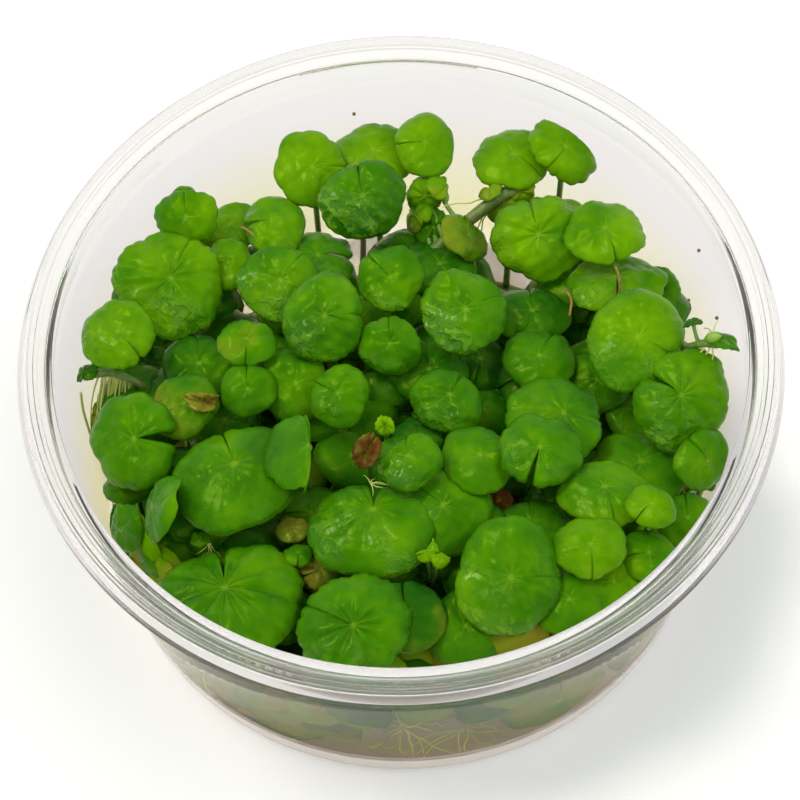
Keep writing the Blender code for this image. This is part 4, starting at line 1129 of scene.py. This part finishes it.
root_skin = make_root_skin()
bundle = grow_tubes("roots_left", left_bundle(np.random.default_rng(BUNDLE_SEED)), root_skin, roundness=2)
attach(bundle, "root")
for number, (name, (node, count, length, spread, drop, thickness)) in enumerate(ROOT_TUFTS.items()):
    rng = np.random.default_rng(TUFT_SEED + number)
    radii = [thickness * (1.15 - 0.7 * step / ROOT_STEPS) for step in range(ROOT_STEPS + 1)]
    lines = []
    for _ in range(count):
        line = root_line(node, length * rng.uniform(0.6, 1.1), spread, drop, rng)
        lines.append(list(zip(line, radii)))
    roots = grow_tubes("roots_" + name, lines, root_skin, roundness=2)
    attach(roots, "root")


# Withered bits
# A few stalks have withered to thin brown strips, a bud sits on the right-hand shoot, and small bits of dead
# leaf and a straight dry stalk have stuck to the wet wall.
WITHERED_BITS = {
    "strip_left": (((-25.0, 30.6, 40.2), (-23.6, 29.0, 41.2), (-21.9, 27.3, 40.6)), 0.24),
    "strip_right": (((34.7, 17.6, 44.2), (35.0, 16.0, 44.9), (35.2, 14.2, 44.4), (34.9, 12.6, 43.4)), 0.20),
    "strip_middle": (((26.6, 14.4, 43.0), (27.4, 12.2, 43.4), (27.0, 9.8, 42.4)), 0.20),
    "dry_stalk": (((-51.0, 3.6, 35.8), (-51.0, 2.0, 32.4), (-50.3, -0.4, 27.9)), 0.22),
    "front_bit": (((-28.0, -40.2, 8.5), (-26.5, -41.2, 9.5), (-24.8, -41.9, 9.0)), 0.45),
    "pink_bit": (((42.6, -2.2, 42.0), (43.0, -3.2, 42.4), (43.3, -4.0, 42.0)), 0.35),
}
WALL_SPECKS = (
    (-6.0, 52.1, 40.4), (47.6, 20.1, 43.4), (47.4, 18.8, 30.5), (50.9, 11.0, 38.0), (-41.0, 29.5, 36.0),
    (22.0, 46.0, 33.0),
)
SPECK_RADIUS = 0.32
BUD_FOOT = Vector((47.2, 2.2, 46.6))
BUD_WAY = Vector((0.30, -0.1, 0.28))
BUD_RADIUS = 0.95
BUD_STEPS = 8


def speck_line(x, y, z):
    """Line of a small lump that lies on the wall's inner face."""
    reach = inner_wall_radius(z) - 0.25
    inward = Vector((x, y, 0)).normalized()
    return [
        (inward * reach + Vector((0, 0, z + rise * SPECK_RADIUS)), SPECK_RADIUS * swell)
        for rise, swell in ((-1.1, 0.3), (-0.6, 0.85), (0.1, 1.0), (0.7, 0.7), (1.2, 0.2))
    ]


withered_skin = make_stem_skin("withered_skin", (0.30, 0.13, 0.022), (0.12, 0.045, 0.010), 0.55)
bud_skin = make_stem_skin("bud_skin", (0.22, 0.42, 0.03), (0.12, 0.30, 0.02), 0.35)
for name, (controls, radius) in WITHERED_BITS.items():
    line = [(point, radius) for point in stem_route(controls)]
    line[0] = (line[0][0], 0.3 * radius)
    line[-1] = (line[-1][0], 0.3 * radius)
    skin = root_skin if name == "dry_stalk" else withered_skin
    bit = grow_tubes("withered_" + name, [line], skin, roundness=3)
    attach(bit, "root")
specks = grow_tubes("wall_specks", [speck_line(*place) for place in WALL_SPECKS], withered_skin, roundness=3)
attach(specks, "root")
bud_line = [
    (BUD_FOOT + BUD_WAY * step, BUD_RADIUS * math.sin(math.pi * (step + 0.4) / (BUD_STEPS + 0.6)))
    for step in range(BUD_STEPS + 1)
]
bud = grow_tubes("right_bud", [bud_line], bud_skin, roundness=5)
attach(bud, "root")


# The camera, the floor and the light
# The camera looks down into the tub from the front, as in the photo. The tub stands on a pale floor under a
# warm soft light from above, a weaker and larger one from the right, and an even white surround.
CAMERA_PLACE = (-0.3, -187.7, 378.0)
CAMERA_ELEVATION = 61.3
CAMERA_ROLL = -2.4
CAMERA_LENS = 110.9
LIGHT_AIM = Vector((0, 0, 0.04))

bpy.ops.object.camera_add(location=[value * MM for value in CAMERA_PLACE])
camera = bpy.context.object
camera.name = "camera"
camera.data.lens = CAMERA_LENS
camera.data.sensor_width = 36.0
camera.data.clip_start = 0.01
camera.rotation_mode = "XYZ"
tilt = Matrix.Rotation(math.radians(90 - CAMERA_ELEVATION), 4, "X")
roll = Matrix.Rotation(math.radians(CAMERA_ROLL), 4, "Z")
camera.matrix_world = Matrix.Translation(camera.location) @ tilt @ roll
bpy.context.scene.camera = camera

bpy.ops.object.select_all(action="DESELECT")
bpy.ops.mesh.primitive_plane_add(size=6, location=(0, 0, -0.0002))
floor = bpy.context.object
floor.name = "floor"
floor_paint, _, floor_shader = new_material("floor_paint")
floor_shader.inputs["Base Color"].default_value = (0.95, 0.95, 0.95, 1)
floor_shader.inputs["Roughness"].default_value = 0.9
floor.data.materials.append(floor_paint)

world = bpy.data.worlds.new("white_surround")
world.use_nodes = True
world.node_tree.nodes["Background"].inputs["Color"].default_value = (0.97, 1, 1, 1)
world.node_tree.nodes["Background"].inputs["Strength"].default_value = 0.86
bpy.context.scene.world = world


def add_soft_light(name, place, size, watts, color):
    """A large round soft light that faces the plant; places in metres."""
    bpy.ops.object.light_add(type="AREA", location=place)
    light = bpy.context.object
    light.name = name
    light.data.shape = "DISK"
    light.data.size = size
    light.data.energy = watts
    light.data.color = color
    light.rotation_mode = "QUATERNION"
    light.rotation_quaternion = (LIGHT_AIM - Vector(place)).to_track_quat("-Z", "Y")


add_soft_light("key_light", (-0.40, 0.15, 1.0), size=0.4, watts=3.9, color=(1.0, 0.97, 0.85))
add_soft_light("side_light", (0.75, -0.3, 0.8), size=0.9, watts=1.8, color=(1.0, 1.0, 1.0))
bpy.context.scene.view_settings.view_transform = "Standard"
